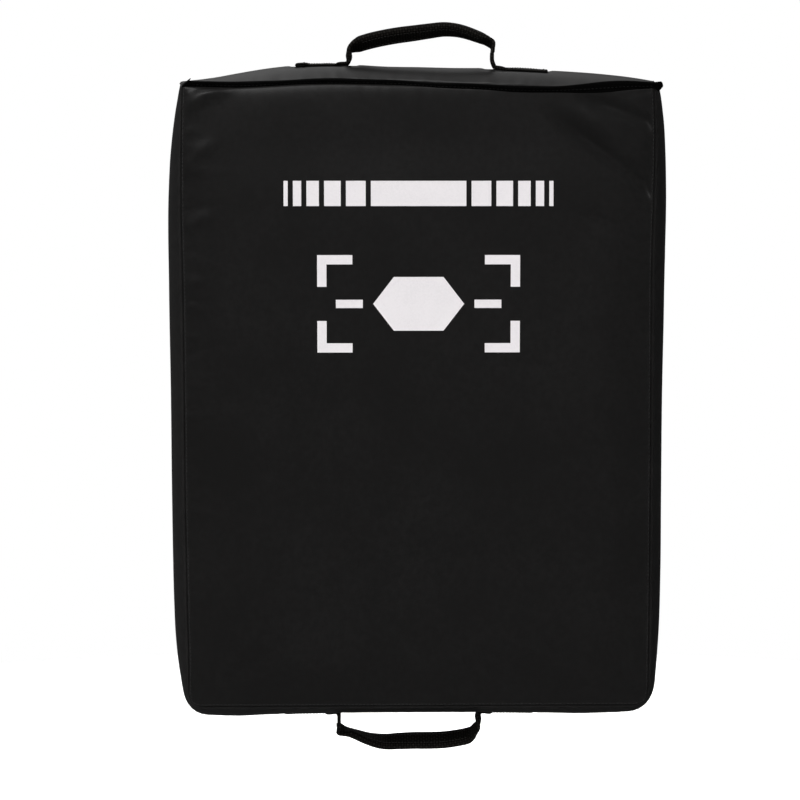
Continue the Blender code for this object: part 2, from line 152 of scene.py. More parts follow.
# How the seams stray from straight lines, in millimetres
LEFT_SEAM_BOW = ((-305, -280, -200, -100, 0, 100, 190, 250, 305), (0, 0.8, 0, -1, -1, -1.2, -2.2, -1.5, 0))
RIGHT_SEAM_BOW = ((-305, -250, -100, 50, 150, 200, 260, 305), (0, 0.4, 0.6, 0, 0, 1.2, 1.6, 0))
LIP_WAVE = (
    (-228, -200, -174, -140, -110, -80, -40, 0, 45, 99, 140, 177, 205, 228),
    (0.2, -0.5, -0.9, 0.8, 2.4, 3.0, 2.2, 1.2, -0.8, -2.4, -2.9, -2.7, -1.6, -0.8),
)
LIP_WAVE_REACH = 0.070

# Drop and further height of the lip that stands out of the closing seam, in millimetres, and its
# other sizes; its right end runs out past the corner as an ear
LIP_DROP = (
    (-228, -150, -20, 20, 55, 90, 130, 160, 180, 201, 215, 228),
    (0, 0, 0.3, 1.3, 1.4, 2.2, 2.2, 2.4, 2.0, 1.0, 0.6, 0),
)
LIP_GROWTH = (
    (-228, -150, -60, 55, 90, 130, 155, 180, 201, 215, 228),
    (0, 0, -0.5, 0, 0.9, 1.0, 2.8, 3.6, 2.6, 1.6, 0.2),
)
LIP_POINTS = 250
LIP_INSET = 0.0013
LIP_ROOT = 0.0012
LIP_THICKNESS = 0.0028
LIP_GIRTH = 0.016
LIP_RIPPLE = 0.0004
LIP_LEAN = math.radians(43)
LIP_SWAY = math.radians(8)
LIP_STITCH_HEIGHT = 0.34
SLANT_LENGTH = 0.009
EAR_REACH = 0.0072
EAR_LENGTH = 0.010
EAR_ROUNDING = 0.0038
# Section of the folded tape, as shares of its thickness and of the lip's height
LIP_PROFILE = (
    (-0.5, -0.12), (-0.56, 0.2), (-0.44, 0.34), (-0.53, 0.5), (-0.55, 0.75), (-0.42, 0.93), (-0.16, 1.0),
    (0.16, 1.0), (0.42, 0.93), (0.55, 0.75), (0.53, 0.5), (0.44, 0.34), (0.56, 0.2), (0.5, -0.12),
)

# Folds of the striking face: from (x, z) to (x, z), width and height, all in millimetres
FACE_FOLDS = (
    (-228, 280, -182, 305, 7.0, 3.6), (-229, 219, -196, 251, 6.5, 1.5),
    (-229, 162, -202, 180, 5.0, 1.2), (-228, 109, -210, 116, 3.2, 1.2), (-228, 87, -214, 92, 3.0, 1.1),
    (-226, 60, -213, 58, 2.6, 0.9), (-226, 15, -209, 13, 2.8, 0.9), (-226, -58, -213, -60, 2.6, 0.8),
    (131, 275, 240, 190, 7.2, -5.8), (160, 292, 240, 260, 6.0, -4.1), (150, 284, 240, 217, 7.0, 1.6),
    (157, 184, 215, 150, 6.0, -1.6), (208, -286, 235, -311, 3.2, -1.8),
)
FOLD_BEND = 0.0025
FOLD_EDGE = 0.008
# Shares of a fold's length over which it starts and runs out
FOLD_START = (-0.15, 0.45)
FOLD_END = (0.60, 0.65)

# Puckers along the seams, each drawn at random between two limits
PUCKER_FIRST = (0.004, 0.014)
PUCKER_STEP = (0.007, 0.024)
PUCKER_WIDTH = (0.0022, 0.0042)
PUCKER_REACH = (0.004, 0.010)
PUCKER_SLANT = (-0.35, 0.35)
PUCKER_SIZE = (0.3, 1.0)
PUCKER_EDGE = 0.004

# The closing seam draws the fabric tight: its share of puckers, and how much settling the face
# loses below it
CLOSING_PUCKERS = 0.25
TIGHT_SHARE = 0.85
TIGHT_REACH = 0.110
TIGHT_FADE = 0.060

# How a sewn foot presses the fabric down, and how far round the solids' feet it does so
FOOT_PRESS = 0.0011
FOOT_PRESS_EDGE = 0.020
PRESS_OUTSIDE = 0.004
PRESS_FADE = 0.006
FOOT_MARGIN = 0.004
FOOT_CURVE_MARGIN = 0.012
PATCH_GRID = (16, 22)
PATCH_THICKNESS = 0.0011
PATCH_GAP = 0.0005

# Webbing sizes: half widths, thicknesses, spans between the roots, lengths of the feet
HANDLE_HALF = 0.019
HANDLE_THICKNESS = 0.0017
HANDLE_SPAN = 0.141
HANDLE_FOOT = 0.052
STRAP_HALF = 0.025
STRAP_THICKNESS = 0.0020
STRAP_SPAN = 0.250
STRAP_FOOT = 0.055
STRAP_ARCH = 0.052
STRAP_X = 0.110
NECK_RADIUS = 0.010
HEM_LENGTH = 0.009
HEM_STEP = 0.005
TURN_UP = 0.002
PATH_STEP = 0.0013
HANDLE_FOLD_RADIUS = 0.0009
STRAP_FOLD_RADIUS = 0.0012
# The mesh is closer towards the webbing's edges, which thin to a share of its thickness
EDGE_CROWDING = 1.25
EDGE_SHARE = 0.45
EDGE_WIDTH = 0.09

# Where a change along the webbing begins and over what length it happens, inside of the roots or
# above the cover
DRAPE_ABOVE = (0.001, 0.004)
GRIP_INSIDE = (0.0005, 0.011)
GRIP_ABOVE = (0.010, 0.004)
LEAN_ABOVE = (0.006, 0.012)
HANDLE_FOLD_INSIDE = (-0.018, 0.019)
HANDLE_LIFT_ABOVE = (0.0, 0.007)
STRAP_FOLD_INSIDE = (-0.020, 0.021)
STRAP_OPEN_INSIDE = (0.018, 0.042)
STRAP_LIFT_ABOVE = (0.0, 0.008)
# How far the parted leg opens like an eye, at what height and over what spread
EYE_OPENING = 0.0014
EYE_HEIGHT = 0.0095
EYE_SPREAD = 0.0045
WEBBING_GAP = 0.0002
LAYER_GAP = 0.0001

# Stitches
STITCH_LIFT = 0.0001
WEBBING_STITCH_LENGTH = 0.0023
WEBBING_THREAD_RADIUS = 0.0004
HANDLE_STITCH_HALF = 0.0150
STRAP_STITCH_HALF = 0.0205
GRIP_STITCH_EDGE = 0.0012
FOOT_STITCH_POINTS = 24
GRIP_STITCH_POINTS = 90
ROOT_CLEAR = 0.012
PLAIN_HEM = 0.003

# Carrying handles: which way is up, middle, arch, lean in degrees, which leg is parted like an eye,
# the route through shares of half the span and of the arch, the grip's further twist in degrees at
# places in millimetres across, and which feet end in a rolled hem
HANDLES = {
    "top_handle": dict(
        up=1, centre=0.003, arch=0.0238, lean=22, parted=-1,
        route=((-1.0, 0.0), (-0.985, 0.1), (-0.945, 0.2), (-0.88, 0.29), (-0.81, 0.375), (-0.71, 0.47),
               (-0.52, 0.61), (-0.3, 0.735), (-0.09, 0.825), (0.12, 0.92), (0.333, 1.0), (0.546, 0.935),
               (0.76, 0.725), (0.94, 0.47), (1.01, 0.32), (1.025, 0.18), (1.0, 0.0)),
        twist=((-71, -47, -30, -10, 10, 25, 40, 60, 71), (16, 18, 18, 17, 13, 9, 4, -4, -10)),
        rolled=(True, False)),
    "bottom_handle": dict(
        up=-1, centre=-0.009, arch=0.0205, lean=22, parted=1,
        route=((-0.99, 0.0), (-1.02, 0.07), (-1.025, 0.13), (-0.98, 0.19), (-0.9, 0.3), (-0.77, 0.5),
               (-0.56, 0.8), (-0.35, 0.95), (-0.13, 0.92), (0.08, 0.89), (0.29, 0.89), (0.5, 0.86),
               (0.72, 0.74), (0.85, 0.62), (0.915, 0.48), (0.945, 0.3), (0.97, 0.13), (1.0, 0.0)),
        twist=((-80, -66, -52, -38, -18, 30, 55, 71), (-32, -24, -10, 4, 13, 16, 13, 9)),
        rolled=(False, False)),
}
STRAP_ROUTE = (
    (-1.0, 0.0), (-0.97, 0.26), (-0.8, 0.64), (-0.42, 0.93), (0.0, 1.0), (0.42, 0.93),
    (0.8, 0.64), (0.97, 0.26), (1.0, 0.0),
)

# Where the camera stands, and where the middle of the face sits in the 800-pixel square picture
CAMERA_DISTANCE = 2.2
CAMERA_ELEVATION = math.radians(5.5)
CAMERA_AZIMUTH = math.radians(-1.0)
PICTURE_SIZE = 800
METRES_PER_PIXEL = 0.000975
FACE_PIXEL = (418.5, 400.0)
SENSOR_WIDTH = 36.0


# ---------------------------------------------------------------- settings

LENGTH = dict(subtype="DISTANCE", unit="LENGTH")
COLOUR = dict(subtype="COLOR", size=3, min=0, max=1)


class ShieldCoverSettings(bpy.types.PropertyGroup):
    """Sizes and colours of the sewn cover."""

    colour: bpy.props.FloatVectorProperty(
        name="Fabric colour", description="Colour of the coated fabric",
        default=(0.0086, 0.0083, 0.0082), **COLOUR)
    thickness: bpy.props.FloatProperty(
        name="Fabric thickness", description="Thickness of the coated fabric", default=0.0011, **LENGTH)
    cell: bpy.props.FloatProperty(
        name="Mesh cell", description="Spacing of the fabric's mesh", default=0.0032, **LENGTH)
    settle_cell: bpy.props.FloatProperty(
        name="Settling cell", description="Spacing of the mesh that settles as cloth",
        default=0.006, **LENGTH)
    settle_steps: bpy.props.IntProperty(
        name="Settling steps", description="Frames for which each panel settles as cloth", default=24)
    settle_limit: bpy.props.FloatProperty(
        name="Settling limit", description="How far settling may move a point of the fabric",
        default=0.0025, **LENGTH)
    gather_height: bpy.props.FloatProperty(
        name="Pucker height", description="Height of the puckers along the seams",
        default=0.0007, **LENGTH)
    lip_height: bpy.props.FloatProperty(
        name="Lip height", description="How far the bound closing seam stands out of its corner",
        default=0.0052, **LENGTH)
    binding_colour: bpy.props.FloatVectorProperty(
        name="Binding colour", description="Colour of the tape on the closing seam",
        default=(0.0014, 0.0014, 0.0014), **COLOUR)


class ShieldWebbingSettings(bpy.types.PropertyGroup):
    """Colours and weave of the webbing."""

    colour: bpy.props.FloatVectorProperty(
        name="Webbing colour", description="Colour of the handles and straps",
        default=(0.0072, 0.0066, 0.0058), **COLOUR)
    rib: bpy.props.FloatProperty(
        name="Rib spacing", description="Spacing of the ribs across the webbing",
        default=0.0027, **LENGTH)
    grip_radius: bpy.props.FloatProperty(
        name="Grip fold radius", description="Radius at which the grip's edges fold over",
        default=0.0028, **LENGTH)


class ShieldThreadSettings(bpy.types.PropertyGroup):
    """Sizes of the stitches."""

    pitch: bpy.props.FloatProperty(
        name="Stitch pitch", description="Distance from one seam stitch to the next",
        default=0.0038, **LENGTH)
    length: bpy.props.FloatProperty(
        name="Stitch length", description="Length of one seam stitch", default=0.0026, **LENGTH)
    radius: bpy.props.FloatProperty(
        name="Thread radius", description="Radius of the thread", default=0.00042, **LENGTH)
    webbing_pitch: bpy.props.FloatProperty(
        name="Webbing stitch pitch", description="Distance between the stitches on the webbing",
        default=0.0032, **LENGTH)
    colour: bpy.props.FloatVectorProperty(
        name="Thread colour", description="Colour of the thread", default=(0.016, 0.016, 0.016), **COLOUR)
    webbing_colour: bpy.props.FloatVectorProperty(
        name="Webbing thread colour", description="Colour of the thread on the webbing",
        default=(0.022, 0.021, 0.02), **COLOUR)


class ShieldPrintSettings(bpy.types.PropertyGroup):
    """Colour and thickness of the print on the striking face."""

    colour: bpy.props.FloatVectorProperty(
        name="Ink colour", description="Colour of the screen print", default=(0.80, 0.77, 0.785), **COLOUR)
    thickness: bpy.props.FloatProperty(
        name="Ink thickness", description="How far the print stands on the fabric",
        default=0.0002, **LENGTH)


class ShieldStageSettings(bpy.types.PropertyGroup):
    """Light and floor round the shield."""

    floor_height: bpy.props.FloatProperty(
        name="Floor height", description="Height of the floor", default=-0.9, **LENGTH)
    key_power: bpy.props.FloatProperty(
        name="Key power", description="Power of the lamp above and left of the camera", default=112.0)
    fill_power: bpy.props.FloatProperty(
        name="Fill power", description="Power of the lamp beside the camera", default=30.0)
    top_power: bpy.props.FloatProperty(
        name="Top power", description="Power of the lamp over the shield", default=12.0)
    side_power: bpy.props.FloatProperty(
        name="Side power", description="Power of the lamp on the left; the right one has less",
        default=15.0)
    back_power: bpy.props.FloatProperty(
        name="Back power", description="Power of the lamp on the holder's side", default=100.0)
    ambient: bpy.props.FloatProperty(
        name="Ambient light", description="Strength of the light from all round", default=0.3)


SETTINGS = {
    "shield_cover": ShieldCoverSettings,
    "shield_webbing": ShieldWebbingSettings,
    "shield_thread": ShieldThreadSettings,
    "shield_print": ShieldPrintSettings,
    "shield_stage": ShieldStageSettings,
}


# ---------------------------------------------------------------- meshes

def link(item):
    """Add an object to the scene."""
    bpy.context.scene.collection.objects.link(item)
    return item


def mesh_object(name, builder, material):
    """An object from a finished mesh builder."""
    mesh = bpy.data.meshes.new(name)
    builder.to_mesh(mesh)
    builder.free()
    mesh.materials.append(material)
    return link(bpy.data.objects.new(name, mesh))


def grid_object(name, points, outward, material=None):
    """A sheet of quads from rows of points, its faces turned towards the outward direction."""
    rows, columns = points.shape[:2]
    index = np.arange(rows * columns).reshape(rows, columns)
    quads = np.stack((index[:-1, :-1], index[1:, :-1], index[1:, 1:], index[:-1, 1:]), axis=-1)
    row, column = rows // 2, columns // 2
    down = points[row + 1, column] - points[row, column]
    along = points[row, column + 1] - points[row, column]
    if np.dot(np.cross(down, along), outward) < 0:
        quads = quads[..., ::-1]
    mesh = bpy.data.meshes.new(name)
    mesh.from_pydata(points.reshape(-1, 3).tolist(), [], quads.reshape(-1, 4).tolist())
    mesh.shade_smooth()
    if material:
        mesh.materials.append(material)
    return link(bpy.data.objects.new(name, mesh))


SHARP_ANGLE = math.radians(50)


def tube_object(name, rings, uv, material):
    """A closed tube from rings of points, with flat ends and a UV pair for each point."""
    count, around = rings.shape[:2]
    index = np.arange(count * around).reshape(count, around)
    after = np.roll(index, -1, axis=1)
    quads = np.stack((index[:-1], after[:-1], after[1:], index[1:]), axis=-1).reshape(-1, 4).tolist()
    quads += [index[0, ::-1].tolist(), index[-1].tolist()]
    mesh = bpy.data.meshes.new(name)
    mesh.from_pydata(rings.reshape(-1, 3).tolist(), [], quads)
    layer = mesh.uv_layers.new(name="run")
    corners = np.zeros(len(mesh.loops), dtype=np.int32)
    mesh.loops.foreach_get("vertex_index", corners)
    layer.data.foreach_set("uv", uv.reshape(-1, 2)[corners].astype(np.float32).ravel())
    builder = bmesh.new()
    builder.from_mesh(mesh)
    bmesh.ops.recalc_face_normals(builder, faces=builder.faces)
    builder.to_mesh(mesh)
    builder.free()
    mesh.shade_smooth()
    mesh.set_sharp_from_angle(angle=SHARP_ANGLE)
    mesh.materials.append(material)
    return link(bpy.data.objects.new(name, mesh))


def surface_normals(points, outward):
    """Unit normals of a grid of points, on the side of the outward direction at its middle."""
    normals = np.cross(np.gradient(points, axis=0), np.gradient(points, axis=1))
    normals /= np.linalg.norm(normals, axis=-1, keepdims=True) + 1e-12
    middle = normals[points.shape[0] // 2, points.shape[1] // 2]
    return normals if np.dot(middle, outward) > 0 else -normals


def apply_modifiers(item):
    """Turn an object's evaluated mesh into its own plain mesh."""
    graph = bpy.context.evaluated_depsgraph_get()
    mesh = bpy.data.meshes.new_from_object(item.evaluated_get(graph), depsgraph=graph)
    old = item.data
    item.modifiers.clear()
    item.data = mesh
    mesh.name = item.name
    bpy.data.meshes.remove(old)
    return item


def curve(places, knots, values):
    """Smooth values at places, through given values at knots."""
    knots, values = np.array(knots, float), np.array(values, float)
    slopes = np.gradient(values, knots)
    places = np.clip(places, knots[0], knots[-1])
    cell = np.clip(np.searchsorted(knots, places, side="right") - 1, 0, len(knots) - 2)
    width = knots[cell + 1] - knots[cell]
    share = (places - knots[cell]) / width
    start, end = values[cell], values[cell + 1]
    leave, arrive = slopes[cell] * width, slopes[cell + 1] * width
    bend = 3 * (end - start) - 2 * leave - arrive
    twist = 2 * (start - end) + leave + arrive
    return start + leave * share + bend * share ** 2 + twist * share ** 3


def curve_through(places, table):
    """Smooth values in metres through a table of (places, values), both in millimetres."""
    knots, values = np.array(table, float) / 1000
    return curve(places, knots, values)


def travelled(path):
    """Distance along a path at each of its points."""
    return np.concatenate(([0], np.cumsum(np.linalg.norm(np.diff(path, axis=0), axis=1))))


def ease(distance, reach):
    """Rise from 0 at a seam to 1 at the reach, steep at first."""
    share = np.clip(distance / reach, 0, 1)
    return 1 - (1 - share) ** 2


def fade(distance, reach):
    """Smooth rise from 0 at a seam to 1 at the reach."""
    share = np.clip(distance / reach, 0, 1)
    return share * share * (3 - 2 * share)


def begun(distance, limits):
    """Smooth rise from 0 to 1 that begins at limits[0] and takes limits[1]."""
    start, reach = limits
    return fade(distance - start, reach)


# ---------------------------------------------------------------- cover surfaces

def roll(distance):
    """Place and depth of the fabric near a seam, at a distance along it from the seam's bottom."""
    angle = np.clip(ROLL_END - distance / ROLL_RADIUS, 0, None)
    along = ROLL_SET_BACK + ROLL_RADIUS * (1 - np.sin(angle)) + np.maximum(distance - ROLL_LENGTH, 0)
    return along, ROLL_RADIUS * (1 - np.cos(angle))


def fabric_length(half):
    """Length of fabric from one seam's bottom to the other's, on a panel of this half size."""
    return 2 * (half - ROLL_SET_BACK - ROLL_RADIUS + ROLL_LENGTH)


def across(travel, half):
    """Place from -half to half, depth in the seams and distance to the nearest seam."""
    total = fabric_length(half)
    nearest = np.minimum(travel, total - travel)
    along, depth = roll(nearest)
    return np.where(travel < total / 2, along - half, half - along), depth, nearest


def fabric_lines(length, cell):
    """Places of the mesh lines along the fabric, closer together in the rolled edges."""
    near = list(np.linspace(0, ROLL_LENGTH, ROLL_STEPS + 1))
    step = near[1]
    while near[-1] < length / 2:
        step = min(step * 1.3, cell)
        near.append(near[-1] + step)
    near = np.array(near)
    stretch = (length / 2 - ROLL_LENGTH) / (near[-1] - ROLL_LENGTH)
    near = np.where(near > ROLL_LENGTH, ROLL_LENGTH + (near - ROLL_LENGTH) * stretch, near)
    return np.concatenate((near, length - near[-2::-1]))


def both_depths(first, second):
    """Depth where two seams meet, from the depth that each gives by itself."""
    return ROLL_DEPTH * (1 - (1 - first / ROLL_DEPTH) * (1 - second / ROLL_DEPTH))


def rounded(x, z):
    """Draw points of a face in to its two rounded lower corners."""
    over = (np.abs(x) - (HALF_WIDTH - CORNER_RADIUS)) / CORNER_RADIUS
    down = (-z - (HALF_HEIGHT - CORNER_RADIUS)) / CORNER_RADIUS
    inside = (over > 0) & (down > 0)
    over, down = np.where(inside, over, 0), np.where(inside, down, 0)
    new_over = over * np.sqrt(1 - down ** 2 / 2)
    new_down = down * np.sqrt(1 - over ** 2 / 2)
    return x + np.sign(x) * (new_over - over) * CORNER_RADIUS, z - (new_down - down) * CORNER_RADIUS


def seam_bow(x, z):
    """Sideways stray of the side seams, fading out towards the middle of the face."""
    left = curve_through(z, LEFT_SEAM_BOW) * fade(-x, HALF_WIDTH)
    right = curve_through(z, RIGHT_SEAM_BOW) * fade(x, HALF_WIDTH)
    return left + right


def lip_wave(x, z):
    """Upward stray of the closing seam, fading out down the face."""
    return curve_through(x, LIP_WAVE) * fade(z - HALF_HEIGHT + LIP_WAVE_REACH, LIP_WAVE_REACH)


def corner_bulge(distance):
    """How far the two top corners swell at mid-depth, at a distance from the corner."""
    return TOP_CORNER_BULGE * fade(TOP_CORNER_REACH - distance, TOP_CORNER_REACH) ** 2


def pillow(distance, reach):
    """Rise of a stuffed panel from its seam: a tight shoulder, then a slow crown."""
    return SHOULDER_SHARE * ease(distance, SHOULDER_REACH) + (1 - SHOULDER_SHARE) * ease(distance, reach)


def face_surface(travel_x, travel_z, seam_y, crown, side_reach, outward):
    """Points of the front or back panel, rows from the bottom up."""
    x, depth_x, from_side = across(travel_x, HALF_WIDTH)
    z, depth_z, from_end = across(travel_z, HALF_HEIGHT)
    x, z = np.meshgrid(x, z)
    depth = both_depths(depth_x[None, :], depth_z[:, None])
    end_rise = pillow(from_end[:, None], CROWN_REACH)
    if outward < 0:
        # Full under the left of the closing seam, pulled flat under its right
        share = curve(x * 1000, *CLOSING_SHOULDER)
        shoulder = 1 - np.exp(-from_end[:, None] / CLOSING_SHOULDER_REACH)
        top_rise = share * shoulder + (1 - share) * ease(from_end[:, None], CLOSING_REACH)
        end_rise = np.where(z > 0, top_rise, end_rise)
    rise = crown * pillow(from_side[None, :], side_reach) * end_rise
    x, z = rounded(x, z)
    if outward < 0:
        x = x + seam_bow(x, z)
        z = z + lip_wave(x, z)
    return np.stack((x, seam_y + outward * (rise - depth), z), axis=-1)


def front_surface(travel_x, travel_z):
    return face_surface(travel_x, travel_z, FRONT_SEAM_Y, FRONT_CROWN, CROWN_REACH, -1)


def back_surface(travel_x, travel_z):
    return face_surface(travel_x, travel_z, BACK_SEAM_Y, BACK_CROWN, HALF_WIDTH - BACK_FLAT, 1)


def swell(travel):
    """Share of the bulge at a distance through the depth, 1 in the middle."""
    share = travel / fabric_length(HALF_DEPTH)
    return 1 - (2 * share - 1) ** 2


SIDE_LENGTH = 2 * HALF_HEIGHT - CORNER_RADIUS
CORNER_LENGTH = CORNER_RADIUS * math.pi / 2
BOTTOM_LENGTH = 2 * (HALF_WIDTH - CORNER_RADIUS)
BOXING_LENGTH = 2 * (SIDE_LENGTH + CORNER_LENGTH) + BOTTOM_LENGTH


def boxing_outline(length):
    """Place and outward direction at a length along the boxing, from the right top corner down."""
    half = BOXING_LENGTH / 2
    mirrored = length > half
    length = np.minimum(length, BOXING_LENGTH - length)
    angle = np.clip((length - SIDE_LENGTH) / CORNER_RADIUS, 0, math.pi / 2)
    x = HALF_WIDTH - CORNER_RADIUS + CORNER_RADIUS * np.cos(angle)
    x = x - np.maximum(length - SIDE_LENGTH - CORNER_LENGTH, 0)
    z = HALF_HEIGHT - np.minimum(length, SIDE_LENGTH) - CORNER_RADIUS * np.sin(angle)
    sign = np.where(mirrored, -1.0, 1.0)
    return x * sign, z, np.cos(angle) * sign, -np.sin(angle)


def boxing_surface(travel_along, travel_depth):
    """Points of the U-shaped strip, rows from the front seam to the back one."""
    total = fabric_length(BOXING_LENGTH / 2)
    nearest = np.minimum(travel_along, total - travel_along)
    along, depth_end = roll(nearest)
    length = np.where(travel_along < total / 2, along, BOXING_LENGTH - along)
    x, z, out_x, out_z = boxing_outline(length)
    side = np.where(x > 0, curve_through(z, RIGHT_BULGE), curve_through(z, LEFT_BULGE))
    below = curve_through(x, BOTTOM_BULGE)
    bulge = side * out_x ** 2 + below * out_z ** 2
    lift = corner_bulge(HALF_HEIGHT - z)
    place, depth_seam, _ = across(travel_depth, HALF_DEPTH)
    share = swell(travel_depth)[:, None]
    depth = both_depths(depth_end[None, :], depth_seam[:, None])
    step = bulge[None, :] * share - depth
    front_share = 1 - travel_depth[:, None] / travel_depth[-1]
    bow = seam_bow(x, z)[None, :] * front_share
    points = np.empty((len(travel_depth), len(travel_along), 3))
    points[..., 0] = x + out_x * step + bow
    points[..., 1] = MIDDLE_Y + place[:, None]
    points[..., 2] = z + out_z * step + lift * share + lip_wave(x, z)[None, :] * front_share ** 2
    return points


def top_surface(travel_x, travel_depth):
    """Points of the top panel, rows from the front seam to the back one."""
    x, depth_x, from_side = across(travel_x, HALF_WIDTH)
    place, depth_seam, _ = across(travel_depth, HALF_DEPTH)
    share = swell(travel_depth)[:, None]
    depth = both_depths(depth_x[None, :], depth_seam[:, None])
    front_share = 1 - travel_depth[:, None] / travel_depth[-1]
    sideways = corner_bulge(from_side) * np.sign(x)
    points = np.empty((len(travel_depth), len(travel_x), 3))
    points[..., 0] = x + sideways * share + seam_bow(x, x * 0 + HALF_HEIGHT) * front_share
    points[..., 1] = MIDDLE_Y + place[:, None]
    points[..., 2] = HALF_HEIGHT + curve_through(x, TOP_BULGE) * share - depth
    points[..., 2] += curve_through(x, LIP_WAVE) * front_share ** 2
    return points


# ---------------------------------------------------------------- how the fabric settles

SLACK_RINGS = 8
CLOTH_SETTINGS = dict(
    quality=5, mass=0.25, tension_stiffness=12, compression_stiffness=12, shear_stiffness=5,
    bending_stiffness=0.6, vertex_group_mass="held", use_pressure=True, uniform_pressure_force=0.3,
    vertex_group_shrink="slack", shrink_min=0.0, shrink_max=-0.035,
)


def settle(points, outward, name):
    """How far each point moves when a panel with spare fabric settles as cloth between its seams."""
    settings = bpy.context.scene.shield_cover
    item = grid_object(name, points, outward)
    rows, columns = points.shape[:2]
    row, column = np.mgrid[0:rows, 0:columns]
    from_edge = np.minimum(np.minimum(row, rows - 1 - row), np.minimum(column, columns - 1 - column))
    held = item.vertex_groups.new(name="held")
    held.add(np.flatnonzero(from_edge.ravel() == 0).tolist(), 1.0, "REPLACE")
    slack = item.vertex_groups.new(name="slack")
    for ring in range(SLACK_RINGS):
        members = np.flatnonzero(from_edge.ravel() == ring).tolist()
        if members:
            slack.add(members, 1.0 - ring / SLACK_RINGS, "REPLACE")
    cloth = item.modifiers.new("settle", "CLOTH")
    for key, value in CLOTH_SETTINGS.items():
        setattr(cloth.settings, key, value)
    cloth.settings.effector_weights.gravity = 0.0
    cloth.collision_settings.use_collision = False
    scene = bpy.context.scene
    cloth.point_cache.frame_start = 1
    cloth.point_cache.frame_end = settings.settle_steps
    for step in range(1, settings.settle_steps + 1):
        scene.frame_set(step)
    evaluated = item.evaluated_get(bpy.context.evaluated_depsgraph_get())
    moved = np.empty(rows * columns * 3, dtype=np.float32)
    evaluated.data.vertices.foreach_get("co", moved)
    moved = moved.reshape(rows, columns, 3) - points
    mesh = item.data
    bpy.data.objects.remove(item)
    bpy.data.meshes.remove(mesh)
    scene.frame_set(1)
    moved = np.nan_to_num(moved)
    size = np.linalg.norm(moved, axis=-1, keepdims=True) + 1e-9
    limit = settings.settle_limit
    return moved / size * limit * np.tanh(size / limit)


def spline_weights(places, count, step):
    """Weights that blend evenly spaced samples into smooth values at other places."""
    weights = np.zeros((len(places), count))
    cell = np.floor(places / step).astype(int)
    share = places / step - cell
    parts = (
        (1 - share) ** 3,
        3 * share ** 3 - 6 * share ** 2 + 4,
        1 + 3 * share + 3 * share ** 2 - 3 * share ** 3,
        share ** 3,
    )
    for offset, part in zip((-1, 0, 1, 2), parts):
        np.add.at(weights, (np.arange(len(places)), np.clip(cell + offset, 0, count - 1)), part / 6)
    return weights


def seam_gathers(random, along, away, length, height):
    """Height of small puckers that run in from a seam, where its thread draws the fabric up."""
    total = np.zeros(np.broadcast(along, away).shape)
    place = random.uniform(*PUCKER_FIRST)
    while place < length:
        width = random.uniform(*PUCKER_WIDTH)
        reach = random.uniform(*PUCKER_REACH)
        slant = random.uniform(*PUCKER_SLANT)
        size = height * random.uniform(*PUCKER_SIZE) * random.choice((1.0, 1.0, -1.0))
        near = np.exp(-((along - place - slant * away) / width) ** 2)
        total += size * near * (away / reach) * np.exp(1 - away / reach)
        place += random.uniform(*PUCKER_STEP)
    return total


def face_folds(x, z):
    """Height of the larger folds of the striking face."""
    total = np.zeros_like(x)
    for x0, z0, x1, z1, width, height in FACE_FOLDS:
        start, end = np.array((x0, z0)) / 1000, np.array((x1, z1)) / 1000
        length = np.linalg.norm(end - start)
        along = ((x - start[0]) * (end[0] - start[0]) + (z - start[1]) * (end[1] - start[1])) / length
        off = ((x - start[0]) * (end[1] - start[1]) - (z - start[1]) * (end[0] - start[0])) / length
        off = off + FOLD_BEND * np.sin(math.pi * np.clip(along / length, 0, 1))
        share = along / length
        taper = begun(share, FOLD_START) * (1 - begun(share, FOLD_END))
        total += height / 1000 * np.exp(-(off / (width / 1000)) ** 2) * taper
    return total


def pressed(points, feet):
    """1 where a sewn foot holds the fabric down, 0 away from it; feet are (low, high) corners."""
    total = np.zeros(points.shape[:2])
    for low, high in feet:
        share = np.ones(points.shape[:2])
        for axis in range(3):
            inside = np.minimum(points[..., axis] - low[axis], high[axis] - points[..., axis])
            share = share * fade(inside + PRESS_OUTSIDE, PRESS_FADE)
        total = np.maximum(total, share)
    return total


